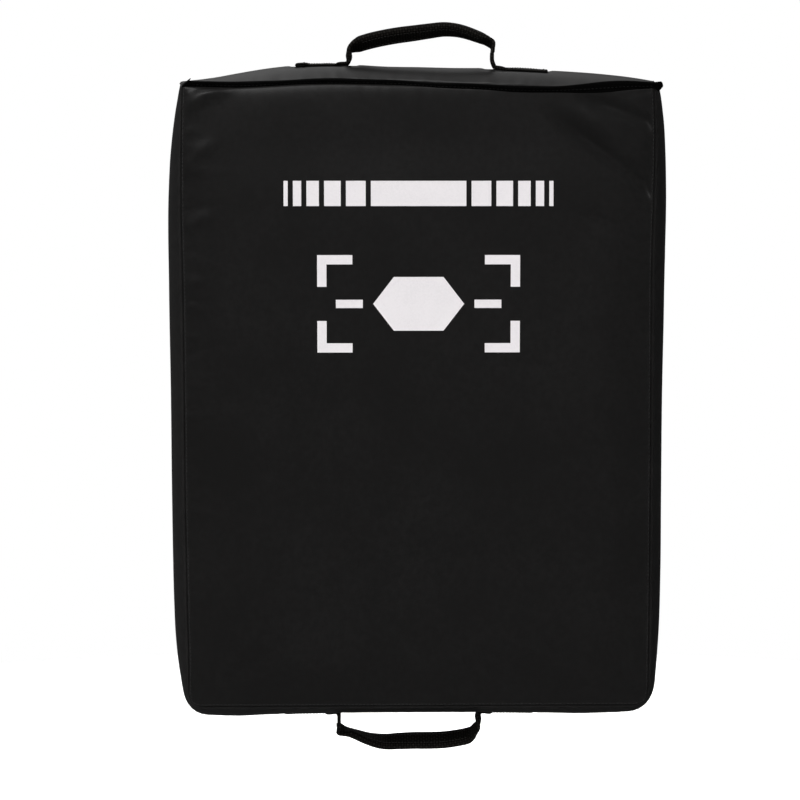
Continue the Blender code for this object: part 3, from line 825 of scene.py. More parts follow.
def fabric_panel(name, surface, sizes, outward, seed, folds=None, feet=()):
    """One panel of the cover, settled as cloth, with puckers along its seams, and its points."""
    settings = bpy.context.scene.shield_cover
    cell = settings.cell * 1
    lines = [fabric_lines(size, cell) for size in sizes]
    points = surface(*lines)
    counts = [round(size / settings.settle_cell) + 1 for size in sizes]
    coarse = [np.linspace(0, size, count) for size, count in zip(sizes, counts)]
    moved = settle(surface(*coarse), outward, name + "_settling")
    weights = [
        spline_weights(line, count, size / (count - 1))
        for line, count, size in zip(lines, counts, sizes)
    ]
    moved = np.einsum("ri,ijk,cj->rck", weights[1], moved, weights[0])
    along, up = np.meshgrid(*lines)
    from_left, from_right = along, sizes[0] - along
    from_low, from_high = up, sizes[1] - up
    nearest = np.minimum(np.minimum(from_left, from_right), np.minimum(from_low, from_high))
    random = np.random.default_rng(seed)
    height = np.zeros_like(along)
    # The closing seam is pulled straight, with hardly a pucker
    closing = CLOSING_PUCKERS if name == "cover_front" else 1.0
    for length, place, away, share in (
        (sizes[1], up, from_left, 1.0), (sizes[1], up, from_right, 1.0),
        (sizes[0], along, from_low, 1.0), (sizes[0], along, from_high, closing),
    ):
        height += seam_gathers(random, place, away, length, settings.gather_height * share)
    if folds:
        height += folds(points[..., 0], points[..., 2]) * fade(nearest, FOLD_EDGE)
        # The closing seam draws the top of the face tight, so hardly any slack settles there
        moved = moved * (1 - TIGHT_SHARE * fade(TIGHT_REACH - from_high, TIGHT_FADE))[..., None]
    normals = surface_normals(points, outward)
    held = pressed(points, feet)
    clear = (fade(nearest, PUCKER_EDGE) * (1 - held))[..., None]
    points = points + (moved + normals * height[..., None]) * clear
    points -= normals * (FOOT_PRESS * held * fade(nearest, FOOT_PRESS_EDGE))[..., None]
    item = grid_object(name, points, outward, fabric_material())
    seam = item.data.attributes.new("seam_distance", "FLOAT", "POINT")
    seam.data.foreach_set("value", (nearest * 1000).astype(np.float32).ravel())
    wall = item.modifiers.new("thickness", "SOLIDIFY")
    wall.thickness = settings.thickness
    wall.offset = -1.0
    wall.use_even_offset = True
    return item, points


def height_field(points, across_axis, up_axis, out_axis):
    """A function that gives the built fabric's height at places on it."""
    across_lines = points[points.shape[0] // 2, :, across_axis]
    up_lines = points[:, points.shape[1] // 2, up_axis]
    heights = points[..., out_axis]
    if across_lines[0] > across_lines[-1]:
        across_lines, heights = across_lines[::-1], heights[:, ::-1]
    if up_lines[0] > up_lines[-1]:
        up_lines, heights = up_lines[::-1], heights[::-1]

    def height(across_place, up_place):
        columns = np.interp(across_place, across_lines, np.arange(len(across_lines)))
        rows = np.interp(up_place, up_lines, np.arange(len(up_lines)))
        column = np.minimum(columns.astype(int), len(across_lines) - 2)
        row = np.minimum(rows.astype(int), len(up_lines) - 2)
        u, v = columns - column, rows - row
        near = heights[row, column] * (1 - u) + heights[row, column + 1] * u
        far = heights[row + 1, column] * (1 - u) + heights[row + 1, column + 1] * u
        return near * (1 - v) + far * v

    return height


# ---------------------------------------------------------------- webbing

def folded_section(across_webbing, flat_half, radius):
    """Place across and out of points of webbing whose two edges fold over, and the turn there."""
    reach = np.abs(across_webbing)
    angle = np.clip((reach - flat_half) / radius, 0, math.pi)
    over = np.maximum(reach - flat_half - math.pi * radius, 0)
    side = np.minimum(reach, flat_half) + radius * np.sin(angle) - over
    return np.sign(across_webbing) * side, radius * (1 - np.cos(angle)), np.sign(across_webbing) * angle


class WebbingRun:
    """A length of webbing that follows a path, with its edges folded over along part of it."""

    def __init__(self, path, sideways, half, thickness, folded, radius, lift, drape, rest):
        """Arrays have one row a station; rest gives how far the fabric sinks beside the path."""
        self.half, self.thickness = half, thickness
        self.travel = travelled(path)
        self.path, self.radius, self.lift, self.drape, self.rest = path, radius, lift, drape, rest
        tangent = np.gradient(path, axis=0)
        tangent /= np.linalg.norm(tangent, axis=1, keepdims=True)
        sideways = sideways - tangent * np.sum(sideways * tangent, axis=1, keepdims=True)
        self.sideways = sideways / np.linalg.norm(sideways, axis=1, keepdims=True)
        self.out = np.cross(tangent, self.sideways)
        self.flat_half = half - folded * (half - (NECK_RADIUS - radius - thickness / 2))

    def at(self, travel, over, height):
        """Points at a distance along, a distance across and a height off the webbing's middle."""
        travel, over = np.broadcast_arrays(travel, over)
        rows = np.interp(travel, self.travel, np.arange(len(self.travel)))
        low = np.clip(np.floor(rows).astype(int), 0, len(self.travel) - 2)
        share = rows - low

        def blended(values):
            part = share[..., None] if values.ndim > 1 else share
            return values[low] * (1 - part) + values[low + 1] * part

        radius = blended(self.radius)
        side, out, angle = folded_section(over, blended(self.flat_half), radius)
        out = out - blended(self.lift) * radius
        side = side - np.sin(angle) * height
        out = out + np.cos(angle) * height
        path, sideways = blended(self.path), blended(self.sideways)
        points = path + sideways * side[..., None] + blended(self.out) * out[..., None]
        return points + self.rest(path, path + sideways * side[..., None]) * blended(self.drape)[..., None]

    def mesh(self, name, material, cells=26):
        """The webbing's object: cells across, closer together towards its two thinner edges."""
        share = np.linspace(-1, 1, cells + 1)
        over = self.half * np.sign(share) * (1 - (1 - np.abs(share)) ** EDGE_CROWDING)
        edge = 1 - np.abs(over) / self.half
        half_thick = self.thickness / 2 * (EDGE_SHARE + (1 - EDGE_SHARE) * ease(edge, EDGE_WIDTH))
        top = self.at(self.travel[:, None], over[None, :], half_thick[None, :])
        low = self.at(self.travel[:, None], over[None, ::-1], -half_thick[None, ::-1])
        rings = np.concatenate((top, low), axis=1)
        run = np.broadcast_to(self.travel[:, None], rings.shape[:2])
        width = np.broadcast_to(np.concatenate((over, over[::-1]))[None, :], rings.shape[:2])
        return tube_object(name, rings, np.stack((run, width), axis=-1), material)


def smooth_path(points, spacing, passes=3):
    """Evenly spaced points along a path, with its kinks eased."""
    points = np.array(points, float)
    travel = travelled(points)
    places = np.linspace(0, travel[-1], int(travel[-1] / spacing) + 1)
    path = np.stack([np.interp(places, travel, column) for column in points.T], axis=1)
    for _ in range(passes):
        path[1:-1] = (path[:-2] + 2 * path[1:-1] + path[2:]) / 4
    return path


def route_points(shares, span, arch, steps=10):
    """Points along a smooth curve through a loop's route, in the plane of the loop."""
    points = np.array(shares) * np.array((span / 2, arch))
    length = travelled(points)
    fine = np.linspace(0, length[-1], len(points) * steps)
    return np.stack([curve(fine, length, column) for column in points.T], axis=1)


def sewn_foot(foot_point, outer, inner, low, high, rolled):
    """Path of one sewn foot, from its outer end, folded under itself or cut plain, to the leg."""
    sign = 1 if inner > outer else -1
    path = []
    start = outer - sign * TURN_UP
    if rolled:
        middle, bend = (low + high) / 2, (high - low) / 2
        path += [foot_point(outer + sign * HEM_LENGTH * share, low) for share in (1, 0.7, 0.4, 0.2)]
        for degrees in (-60, -30, 0, 30, 60):
            angle = math.radians(degrees)
            path.append(foot_point(outer - sign * bend * math.cos(angle), middle + bend * math.sin(angle)))
        path += [foot_point(outer + sign * HEM_LENGTH * share, high) for share in np.linspace(0.1, 1, 5)]
        start = outer + sign * (HEM_LENGTH + HEM_STEP)
    return path + [foot_point(place, low) for place in np.linspace(start, inner, 12)]


def webbing_path(foot_point, loop_point, route, span, arch, foot, thickness, leg, rolled):
    """The whole run of a handle or strap: foot, leg, loop, leg and foot."""
    low = WEBBING_GAP + thickness / 2
    high = low + thickness + LAYER_GAP
    half = span / 2
    loop = [loop_point(along, out) for along, out in route_points(route, span, arch)]
    rise = np.linspace(-leg + low + TURN_UP, -0.0005, 5)
    first = sewn_foot(foot_point, -half - foot, -half - TURN_UP, low, high, rolled[0])
    last = sewn_foot(foot_point, half + foot, half + TURN_UP, low, high, rolled[1])
    first += [loop_point(-half, height) for height in rise]
    last += [loop_point(half, height) for height in rise]
    return smooth_path(first + loop + last[::-1], PATH_STEP)


# ---------------------------------------------------------------- materials

def add_node(tree, kind, inputs=None, **settings):
    """A node with its settings, its inputs set to values or linked from sockets."""
    node = tree.nodes.new(kind)
    for key, value in settings.items():
        setattr(node, key, value)
    for key, value in (inputs or {}).items():
        if isinstance(value, bpy.types.NodeSocket):
            tree.links.new(value, node.inputs[key])
        else:
            node.inputs[key].default_value = value
    return node


def calculate(tree, operation, *values):
    """The result of a maths node on values and sockets."""
    return add_node(tree, "ShaderNodeMath", dict(enumerate(values)), operation=operation).outputs[0]


def ranged(tree, value, start, end, low=0.0, high=1.0, **settings):
    """A socket's value mapped from start and end to low and high, and held beyond them."""
    inputs = {"Value": value, "From Min": start, "From Max": end, "To Min": low, "To Max": high}
    return add_node(tree, "ShaderNodeMapRange", inputs, **settings).outputs[0]


def noise(tree, coords, scale, detail, roughness=0.5):
    """Soft noise between 0 and 1."""
    inputs = {"Vector": coords, "Scale": scale, "Detail": detail, "Roughness": roughness}
    return add_node(tree, "ShaderNodeTexNoise", inputs).outputs[0]


def new_group(name, inputs, outputs):
    """An empty shader group with named sockets: (name, type, default) and (name, type)."""
    group = bpy.data.node_groups.new(name, "ShaderNodeTree")
    for title, kind, default in inputs:
        socket = group.interface.new_socket(title, in_out="INPUT", socket_type=kind)
        if default is not None:
            socket.default_value = default
    for title, kind in outputs:
        group.interface.new_socket(title, in_out="OUTPUT", socket_type=kind)
    return group, group.nodes.new("NodeGroupInput").outputs, group.nodes.new("NodeGroupOutput").inputs


def grain_group():
    """Fine pebbled relief of a coated fabric or of foam cells."""
    group = bpy.data.node_groups.get("Pebble Grain")
    if group:
        return group
    group, given, result = new_group(
        "Pebble Grain",
        [("Vector", "NodeSocketVector", None), ("Scale", "NodeSocketFloat", 900.0),
         ("Unevenness", "NodeSocketFloat", 0.4)],
        [("Height", "NodeSocketFloat"), ("Mask", "NodeSocketFloat")])
    cells = add_node(group, "ShaderNodeTexVoronoi", {
        "Vector": given["Vector"], "Scale": given["Scale"], "Smoothness": 0.6}, feature="SMOOTH_F1")
    broad = noise(group, given["Vector"], calculate(group, "MULTIPLY", given["Scale"], 0.12), 3.0, 0.55)
    rise = calculate(group, "SUBTRACT", 1.0, cells.outputs["Distance"])
    rough = calculate(group, "MULTIPLY", broad, given["Unevenness"])
    group.links.new(calculate(group, "ADD", rise, rough), result["Height"])
    group.links.new(broad, result["Mask"])
    return group


def wear_group():
    """Slow changes of colour and roughness over a surface, from handling and dust."""
    group = bpy.data.node_groups.get("Surface Wear")
    if group:
        return group
    group, given, result = new_group(
        "Surface Wear",
        [("Vector", "NodeSocketVector", None), ("Scale", "NodeSocketFloat", 14.0),
         ("Clean Colour", "NodeSocketColor", (0.01, 0.01, 0.01, 1)),
         ("Worn Colour", "NodeSocketColor", (0.02, 0.02, 0.02, 1)),
         ("Amount", "NodeSocketFloat", 0.5), ("Roughness", "NodeSocketFloat", 0.5)],
        [("Colour", "NodeSocketColor"), ("Roughness", "NodeSocketFloat")])
    patches = noise(group, given["Vector"], given["Scale"], 5.0, 0.62)
    speck = noise(group, given["Vector"], calculate(group, "MULTIPLY", given["Scale"], 22.0), 2.0)
    mixed = calculate(group, "MULTIPLY", patches, speck)
    share = calculate(group, "MULTIPLY", ranged(group, mixed, 0.18, 0.42), given["Amount"])
    colour = add_node(group, "ShaderNodeMix", data_type="RGBA")
    group.links.new(share, colour.inputs["Factor"])
    group.links.new(given["Clean Colour"], colour.inputs["A"])
    group.links.new(given["Worn Colour"], colour.inputs["B"])
    group.links.new(colour.outputs["Result"], result["Colour"])
    spread = calculate(group, "MULTIPLY_ADD", patches, 0.16, -0.08)
    group.links.new(calculate(group, "ADD", given["Roughness"], spread), result["Roughness"])
    return group


def weave_group():
    """Over-and-under relief of woven tape, along and across its own run."""
    group = bpy.data.node_groups.get("Woven Relief")
    if group:
        return group
    group, given, result = new_group(
        "Woven Relief",
        [("Vector", "NodeSocketVector", None), ("Rib", "NodeSocketFloat", 0.0017),
         ("Yarn", "NodeSocketFloat", 0.0013)],
        [("Height", "NodeSocketFloat"), ("Mask", "NodeSocketFloat")])
    parts = add_node(group, "ShaderNodeSeparateXYZ", {"Vector": given["Vector"]})
    waves = []
    for axis, size in (("X", "Rib"), ("Y", "Yarn")):
        turn = calculate(group, "DIVIDE", parts.outputs[axis], given[size])
        waves.append(calculate(group, "SINE", calculate(group, "MULTIPLY", turn, math.pi)))
    crossing = calculate(group, "MULTIPLY", *waves)
    bump = calculate(group, "POWER", calculate(group, "ABSOLUTE", crossing), 0.6)
    over = calculate(group, "GREATER_THAN", crossing, 0.0)
    high = calculate(group, "MULTIPLY_ADD", over, 0.35, 0.65)
    group.links.new(calculate(group, "MULTIPLY", bump, high), result["Height"])
    group.links.new(over, result["Mask"])
    return group


def use_group(tree, group, inputs):
    """A node that runs a shared group."""
    return add_node(tree, "ShaderNodeGroup", inputs, node_tree=group)


def new_material(name):
    """A node material, its tree and its surface shader."""
    material = bpy.data.materials.new(name)
    material.use_nodes = True
    tree = material.node_tree
    return material, tree, tree.nodes["Principled BSDF"]


def bump(tree, shader, height, strength, distance, normal=None):
    """Relief from a height, over an earlier relief if one is given."""
    inputs = {"Height": height, "Strength": strength, "Distance": distance}
    if normal:
        inputs["Normal"] = normal
    node = add_node(tree, "ShaderNodeBump", inputs)
    tree.links.new(node.outputs["Normal"], shader.inputs["Normal"])
    return node.outputs["Normal"]


def rgba(colour, factor=1.0):
    """A colour times a factor, with full opacity."""
    return (*(min(part * factor, 1.0) for part in colour), 1.0)


def pebble(tree, coords, scale, unevenness):
    """Height of the shared pebble grain."""
    inputs = {"Vector": coords, "Scale": scale, "Unevenness": unevenness}
    return use_group(tree, grain_group(), inputs).outputs["Height"]


def object_coords(tree):
    return add_node(tree, "ShaderNodeTexCoord").outputs["Object"]


def worn_look(tree, shader, coords, scale, colour, worn, amount, roughness, specular=0.5):
    """Give a shader colour and roughness that change slowly over the surface; return the colour."""
    wear = use_group(tree, wear_group(), {
        "Vector": coords, "Scale": scale, "Clean Colour": rgba(colour),
        "Worn Colour": rgba(colour, worn), "Amount": amount, "Roughness": roughness})
    tree.links.new(wear.outputs["Colour"], shader.inputs["Base Color"])
    tree.links.new(wear.outputs["Roughness"], shader.inputs["Roughness"])
    shader.inputs["Specular IOR Level"].default_value = specular
    return wear.outputs["Colour"]


def fabric_material():
    """Black coated fabric: a fine pebble, a satin surface and a little handling dust."""
    material = bpy.data.materials.get("coated fabric")
    if material:
        return material
    colour = bpy.context.scene.shield_cover.colour
    material, tree, shader = new_material("coated fabric")
    coords = object_coords(tree)
    worn = worn_look(tree, shader, coords, 9.0, colour, 1.5, 0.5, 0.34)
    grain = pebble(tree, coords, 850.0, 0.5)
    slack = noise(tree, coords, 34.0, 2.0)
    broad = bump(tree, shader, slack, 0.15, 0.0006)
    bump(tree, shader, grain, 0.25, 0.00012, broad)
    # Painted shade darkens each seam at its bottom, in colour and shine, and a painted highlight makes the
    # fabric's roll beside it a little lighter, unevenly
    seam = add_node(tree, "ShaderNodeAttribute", attribute_name="seam_distance").outputs["Fac"]
    painted_seam_shade = ranged(tree, seam, 0.4, 1.4, 0.6, 1.0)
    painted_roll_highlight = ranged(tree, seam, 1.8, 3.8, 1.0, 0.0)
    uneven = calculate(tree, "MULTIPLY", painted_roll_highlight, slack)
    light = calculate(tree, "MULTIPLY", calculate(tree, "MULTIPLY_ADD", uneven, 0.7, 1.0), painted_seam_shade)
    # A painted highlight gives the top panel's fold over the closing seam a thin line of light along its
    # middle
    painted_ridge_line = calculate(tree, "SUBTRACT", 1.0, calculate(
        tree, "DIVIDE", calculate(tree, "ABSOLUTE", calculate(tree, "SUBTRACT", seam, 4.8)), 1.2))
    place = add_node(tree, "ShaderNodeSeparateXYZ", {"Vector": coords}).outputs
    for axis, start, end in (("X", -0.085, -0.06), ("X", 0.15, 0.12), ("Y", MIDDLE_Y, MIDDLE_Y - 0.01),
                             ("Z", HALF_HEIGHT + 0.001, HALF_HEIGHT + 0.002)):
        inside = ranged(tree, place[axis], start, end)
        painted_ridge_line = calculate(tree, "MULTIPLY", calculate(tree, "MAXIMUM", painted_ridge_line, 0.0), inside)
    light = calculate(tree, "MULTIPLY", light, calculate(tree, "MULTIPLY_ADD", painted_ridge_line, 1.0, 1.0))
    shine = calculate(tree, "MULTIPLY", painted_seam_shade, calculate(tree, "MULTIPLY_ADD", painted_ridge_line, 0.45, 0.15))
    # The worn colour takes the painted seam shade and the painted highlights
    colour_with_painted_light = add_node(tree, "ShaderNodeVectorMath", {0: worn, "Scale": light}, operation="SCALE")
    tree.links.new(colour_with_painted_light.outputs[0], shader.inputs["Base Color"])
    tree.links.new(shine, shader.inputs["Specular IOR Level"])
    return material


def woven_material(name, colour, rib, yarn, roughness, specular, relief, coords="UV"):
    """Woven tape or fabric, its ribs along its own run or along the object's axes."""
    material = bpy.data.materials.get(name)
    if material:
        return material
    material, tree, shader = new_material(name)
    source = add_node(tree, "ShaderNodeTexCoord").outputs
    weave = use_group(tree, weave_group(), {"Vector": source[coords], "Rib": rib, "Yarn": yarn})
    worn = worn_look(tree, shader, source["Object"], 40.0, colour, 2.4, 0.7, roughness, specular)
    # The weave's relief also sets its colour: painted shade in the low gaps between the yarns and painted
    # light on the raised yarns
    colour_with_painted_light = add_node(tree, "ShaderNodeMix", data_type="RGBA", blend_type="MULTIPLY")
    colour_with_painted_light.inputs["Factor"].default_value = 1.0
    tree.links.new(worn, colour_with_painted_light.inputs["A"])
    tree.links.new(ranged(tree, weave.outputs["Height"], 0.25, 0.95, 0.3, 2.0), colour_with_painted_light.inputs["B"])
    tree.links.new(colour_with_painted_light.outputs["Result"], shader.inputs["Base Color"])
    soft = bump(tree, shader, noise(tree, source["Object"], 2600.0, 1.0), 0.3, 0.0002)
    bump(tree, shader, weave.outputs["Height"], relief, 0.0005, soft)
    return material


def webbing_material():
    settings = bpy.context.scene.shield_webbing
    return woven_material("handle webbing", settings.colour, settings.rib, 0.0021, 0.6, 0.03, 1.0)


def binding_material():
    colour = bpy.context.scene.shield_cover.binding_colour
    return woven_material("binding tape", colour, 0.0009, 0.0011, 0.6, 0.03, 0.6)


def patch_material():
    return woven_material("patch fabric", (0.03, 0.03, 0.031), 0.0008, 0.0008, 0.75, 0.25, 0.7, "Object")


def thread_material(name, colour):
    """Twisted polyester thread."""
    material = bpy.data.materials.get(name)
    if material:
        return material
    material, tree, shader = new_material(name)
    coords = object_coords(tree)
    worn_look(tree, shader, coords, 60.0, colour, 1.8, 0.6, 0.55, 0.25)
    twist = add_node(tree, "ShaderNodeTexWave", {"Vector": coords, "Scale": 900.0, "Distortion": 1.0},
                     bands_direction="DIAGONAL")
    bump(tree, shader, twist.outputs["Fac"], 0.5, 0.0001)
    return material


def ink_material():
    """Screen print: a thin matt film that lets a little of the fabric's pebble show."""
    colour = bpy.context.scene.shield_print.colour
    material, tree, shader = new_material("screen print")
    coords = object_coords(tree)
    worn_look(tree, shader, coords, 30.0, colour, 0.93, 0.8, 0.6, 0.2)
    grain = pebble(tree, coords, 850.0, 0.5)
    bump(tree, shader, grain, 0.15, 0.0001)
    return material


def foam_material(name, colour, cell):
    """Cut foam, with open cells on its surface."""
    material, tree, shader = new_material(name)
    coords = object_coords(tree)
    worn_look(tree, shader, coords, 20.0, colour, 0.8, 0.7, 0.9, 0.1)
    grain = pebble(tree, coords, 1.0 / cell, 0.8)
    bump(tree, shader, grain, 0.8, cell / 2)
    return material


# ---------------------------------------------------------------- stitches

def stitch_tree():
    """Geometry nodes that lay stitches of one length, end to end with gaps, along each path."""
    tree = bpy.data.node_groups.get("Stitch Row")
    if tree:
        return tree
    tree = bpy.data.node_groups.new("Stitch Row", "GeometryNodeTree")
    tree.interface.new_socket("Geometry", in_out="INPUT", socket_type="NodeSocketGeometry")
    for title in ("Pitch", "Length", "Radius"):
        tree.interface.new_socket(title, in_out="INPUT", socket_type="NodeSocketFloat")
    tree.interface.new_socket("Thread", in_out="INPUT", socket_type="NodeSocketMaterial")
    tree.interface.new_socket("Geometry", in_out="OUTPUT", socket_type="NodeSocketGeometry")
    given = tree.nodes.new("NodeGroupInput").outputs
    result = tree.nodes.new("NodeGroupOutput").inputs
    path = add_node(tree, "GeometryNodeMeshToCurve", {"Mesh": given["Geometry"]})
    even = add_node(tree, "GeometryNodeResampleCurve",
                    {"Curve": path.outputs["Curve"], "Length": given["Pitch"]}, mode="LENGTH")
    ball = add_node(tree, "GeometryNodeMeshUVSphere", {"Segments": 6, "Rings": 5, "Radius": 1.0})
    half = calculate(tree, "MULTIPLY", given["Length"], 0.5)
    size = add_node(tree, "ShaderNodeCombineXYZ",
                    {"X": given["Radius"], "Y": given["Radius"], "Z": half})
    shape = add_node(tree, "GeometryNodeTransform",
                     {"Geometry": ball.outputs["Mesh"], "Scale": size.outputs["Vector"]})
    tangent = add_node(tree, "GeometryNodeInputTangent")
    turn = add_node(tree, "FunctionNodeAlignRotationToVector",
                    {"Vector": tangent.outputs["Tangent"]}, axis="Z")
    laid = add_node(tree, "GeometryNodeInstanceOnPoints",
                    {"Points": even.outputs["Curve"], "Instance": shape.outputs["Geometry"],
                     "Rotation": turn.outputs["Rotation"]})
    real = add_node(tree, "GeometryNodeRealizeInstances", {"Geometry": laid.outputs["Instances"]})
    smooth = add_node(tree, "GeometryNodeSetShadeSmooth", {"Geometry": real.outputs["Geometry"]})
    coloured = add_node(tree, "GeometryNodeSetMaterial",
                        {"Geometry": smooth.outputs["Geometry"], "Material": given["Thread"]})
    tree.links.new(coloured.outputs["Geometry"], result["Geometry"])
    return tree


def stitch_rows(name, paths, body, pitch, length, radius, material):
    """Rows of stitches along paths, as one plain mesh on one body."""
    points, edges = [], []
    for path in paths:
        start = len(points)
        points += [tuple(point) for point in path]
        edges += [(start + step, start + step + 1) for step in range(len(path) - 1)]
    mesh = bpy.data.meshes.new(name)
    mesh.from_pydata(points, edges, [])
    item = link(bpy.data.objects.new(name, mesh))
    rows = item.modifiers.new("stitches", "NODES")
    rows.node_group = stitch_tree()
    sockets = {entry.name: entry.identifier for entry in rows.node_group.interface.items_tree
               if entry.in_out == "INPUT"}
    for title, value in (("Pitch", pitch), ("Length", length), ("Radius", radius), ("Thread", material)):
        rows[sockets[title]] = value
    apply_modifiers(item)
    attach(item, body)


def seam_stitches(name, paths, material):
    """Rows of stitches along the seams of the cover."""
    thread = bpy.context.scene.shield_thread
    stitch_rows(name, paths, "shield", thread.pitch, thread.length, thread.radius, material)


def webbing_stitches(name, paths, body):
    """Rows of stitches on the webbing."""
    thread = bpy.context.scene.shield_thread
    material = thread_material("webbing thread", thread.webbing_colour)
    stitch_rows(name, paths, body, thread.webbing_pitch, WEBBING_STITCH_LENGTH, WEBBING_THREAD_RADIUS,
                material)


# ---------------------------------------------------------------- operators

FACE_SIZES = (fabric_length(HALF_WIDTH), fabric_length(HALF_HEIGHT))
TOP_SIZES = (fabric_length(HALF_WIDTH), fabric_length(HALF_DEPTH))
BOXING_SIZES = (fabric_length(BOXING_LENGTH / 2), fabric_length(HALF_DEPTH))
FRONT = np.array((0.0, -1.0, 0.0))
BACK = np.array((0.0, 1.0, 0.0))
UP = np.array((0.0, 0.0, 1.0))
DOWN = np.array((0.0, 0.0, -1.0))

# Points and normals of each fabric panel, once it is built
built = {}


def press_under_face(item):
    """Press the soft foam's front in where the face of the cover dips, so that it stays inside."""
    points = front_surface(*[fabric_lines(size, FACE_CELL) for size in FACE_SIZES])
    points[..., 1] -= face_folds(points[..., 0], points[..., 2])
    face = height_field(points, 0, 2, 1)
    places = np.empty(3 * len(item.data.vertices), dtype=np.float32)
    item.data.vertices.foreach_get("co", places)
    places = places.reshape(-1, 3)
    places[:, 1] = np.maximum(places[:, 1], face(places[:, 0], places[:, 2]) + FOAM_CLEARANCE)
    item.data.vertices.foreach_set("co", places.ravel())
    item.data.update()


class SHIELD_OT_foam(bpy.types.Operator):
    """Build the two foam layers inside the cover"""

    bl_idname = "shield.foam"
    bl_label = "Foam layers"
    bl_options = {"REGISTER", "UNDO"}

    def execute(self, context):
        layers = (
            ("strike_layer", "strike_foam", foam_material("soft foam", (0.62, 0.60, 0.50), 0.0012)),
            ("backing_layer", "backing_foam", foam_material("firm foam", (0.10, 0.10, 0.11), 0.0008)),
        )
        for name, node, material in layers:
            mesh = frame["nodes"][node].data.copy()
            mesh.name = name
            builder = bmesh.new()
            builder.from_mesh(mesh)
            bmesh.ops.remove_doubles(builder, verts=builder.verts, dist=1e-5)
            builder.to_mesh(mesh)
            builder.free()
            item = link(bpy.data.objects.new(name, mesh))
            remesh = item.modifiers.new("cut surface", "REMESH")
            remesh.mode = "VOXEL"
            remesh.voxel_size = FOAM_VOXEL
            remesh.use_smooth_shade = True
            soften = item.modifiers.new("soft edges", "SMOOTH")
            soften.factor = 0.5
            soften.iterations = 4
            clear = item.modifiers.new("clear of the cover", "DISPLACE")
            clear.strength = -FOAM_INSET
            clear.mid_level = 0.0
            apply_modifiers(item)
            if node == "strike_foam":
                press_under_face(item)
            item.data.materials.clear()
            item.data.materials.append(material)
            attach(item, "shield")
            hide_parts(node)
        return {"FINISHED"}


class SHIELD_OT_cover(bpy.types.Operator):
    """Build the four fabric panels of the cover"""

    bl_idname = "shield.cover"
    bl_label = "Cover panels"
    bl_options = {"REGISTER", "UNDO"}

    def execute(self, context):
        panels = (
            ("cover_front", "front_panel", front_surface, FACE_SIZES, FRONT, 11, face_folds,
             (2 * HALF_WIDTH, 2 * HALF_HEIGHT), ["strike_layer"]),
            ("cover_back", "back_panel", back_surface, FACE_SIZES, BACK, 12, None,
             (2 * HALF_WIDTH, 2 * HALF_HEIGHT), ["backing_layer"]),
            ("cover_boxing", "boxing_strip", boxing_surface, BOXING_SIZES, DOWN, 13, None,
             (2 * HALF_DEPTH, BOXING_LENGTH), ["strike_layer", "backing_layer"]),
            ("cover_top", "top_panel", top_surface, TOP_SIZES, UP, 14, None,
             (2 * HALF_DEPTH, 2 * HALF_WIDTH), ["strike_layer", "backing_layer"]),
        )
        feet = foot_boxes()
        for name, node, surface, sizes, outward, seed, folds, flat, under in panels:
            item, points = fabric_panel(name, surface, sizes, outward, seed, folds, feet.get(name, ()))
            built[name] = (points, surface_normals(points, outward))
            apply_modifiers(item)
            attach(item, "shield")
            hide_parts(node)
            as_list(under)
        return {"FINISHED"}


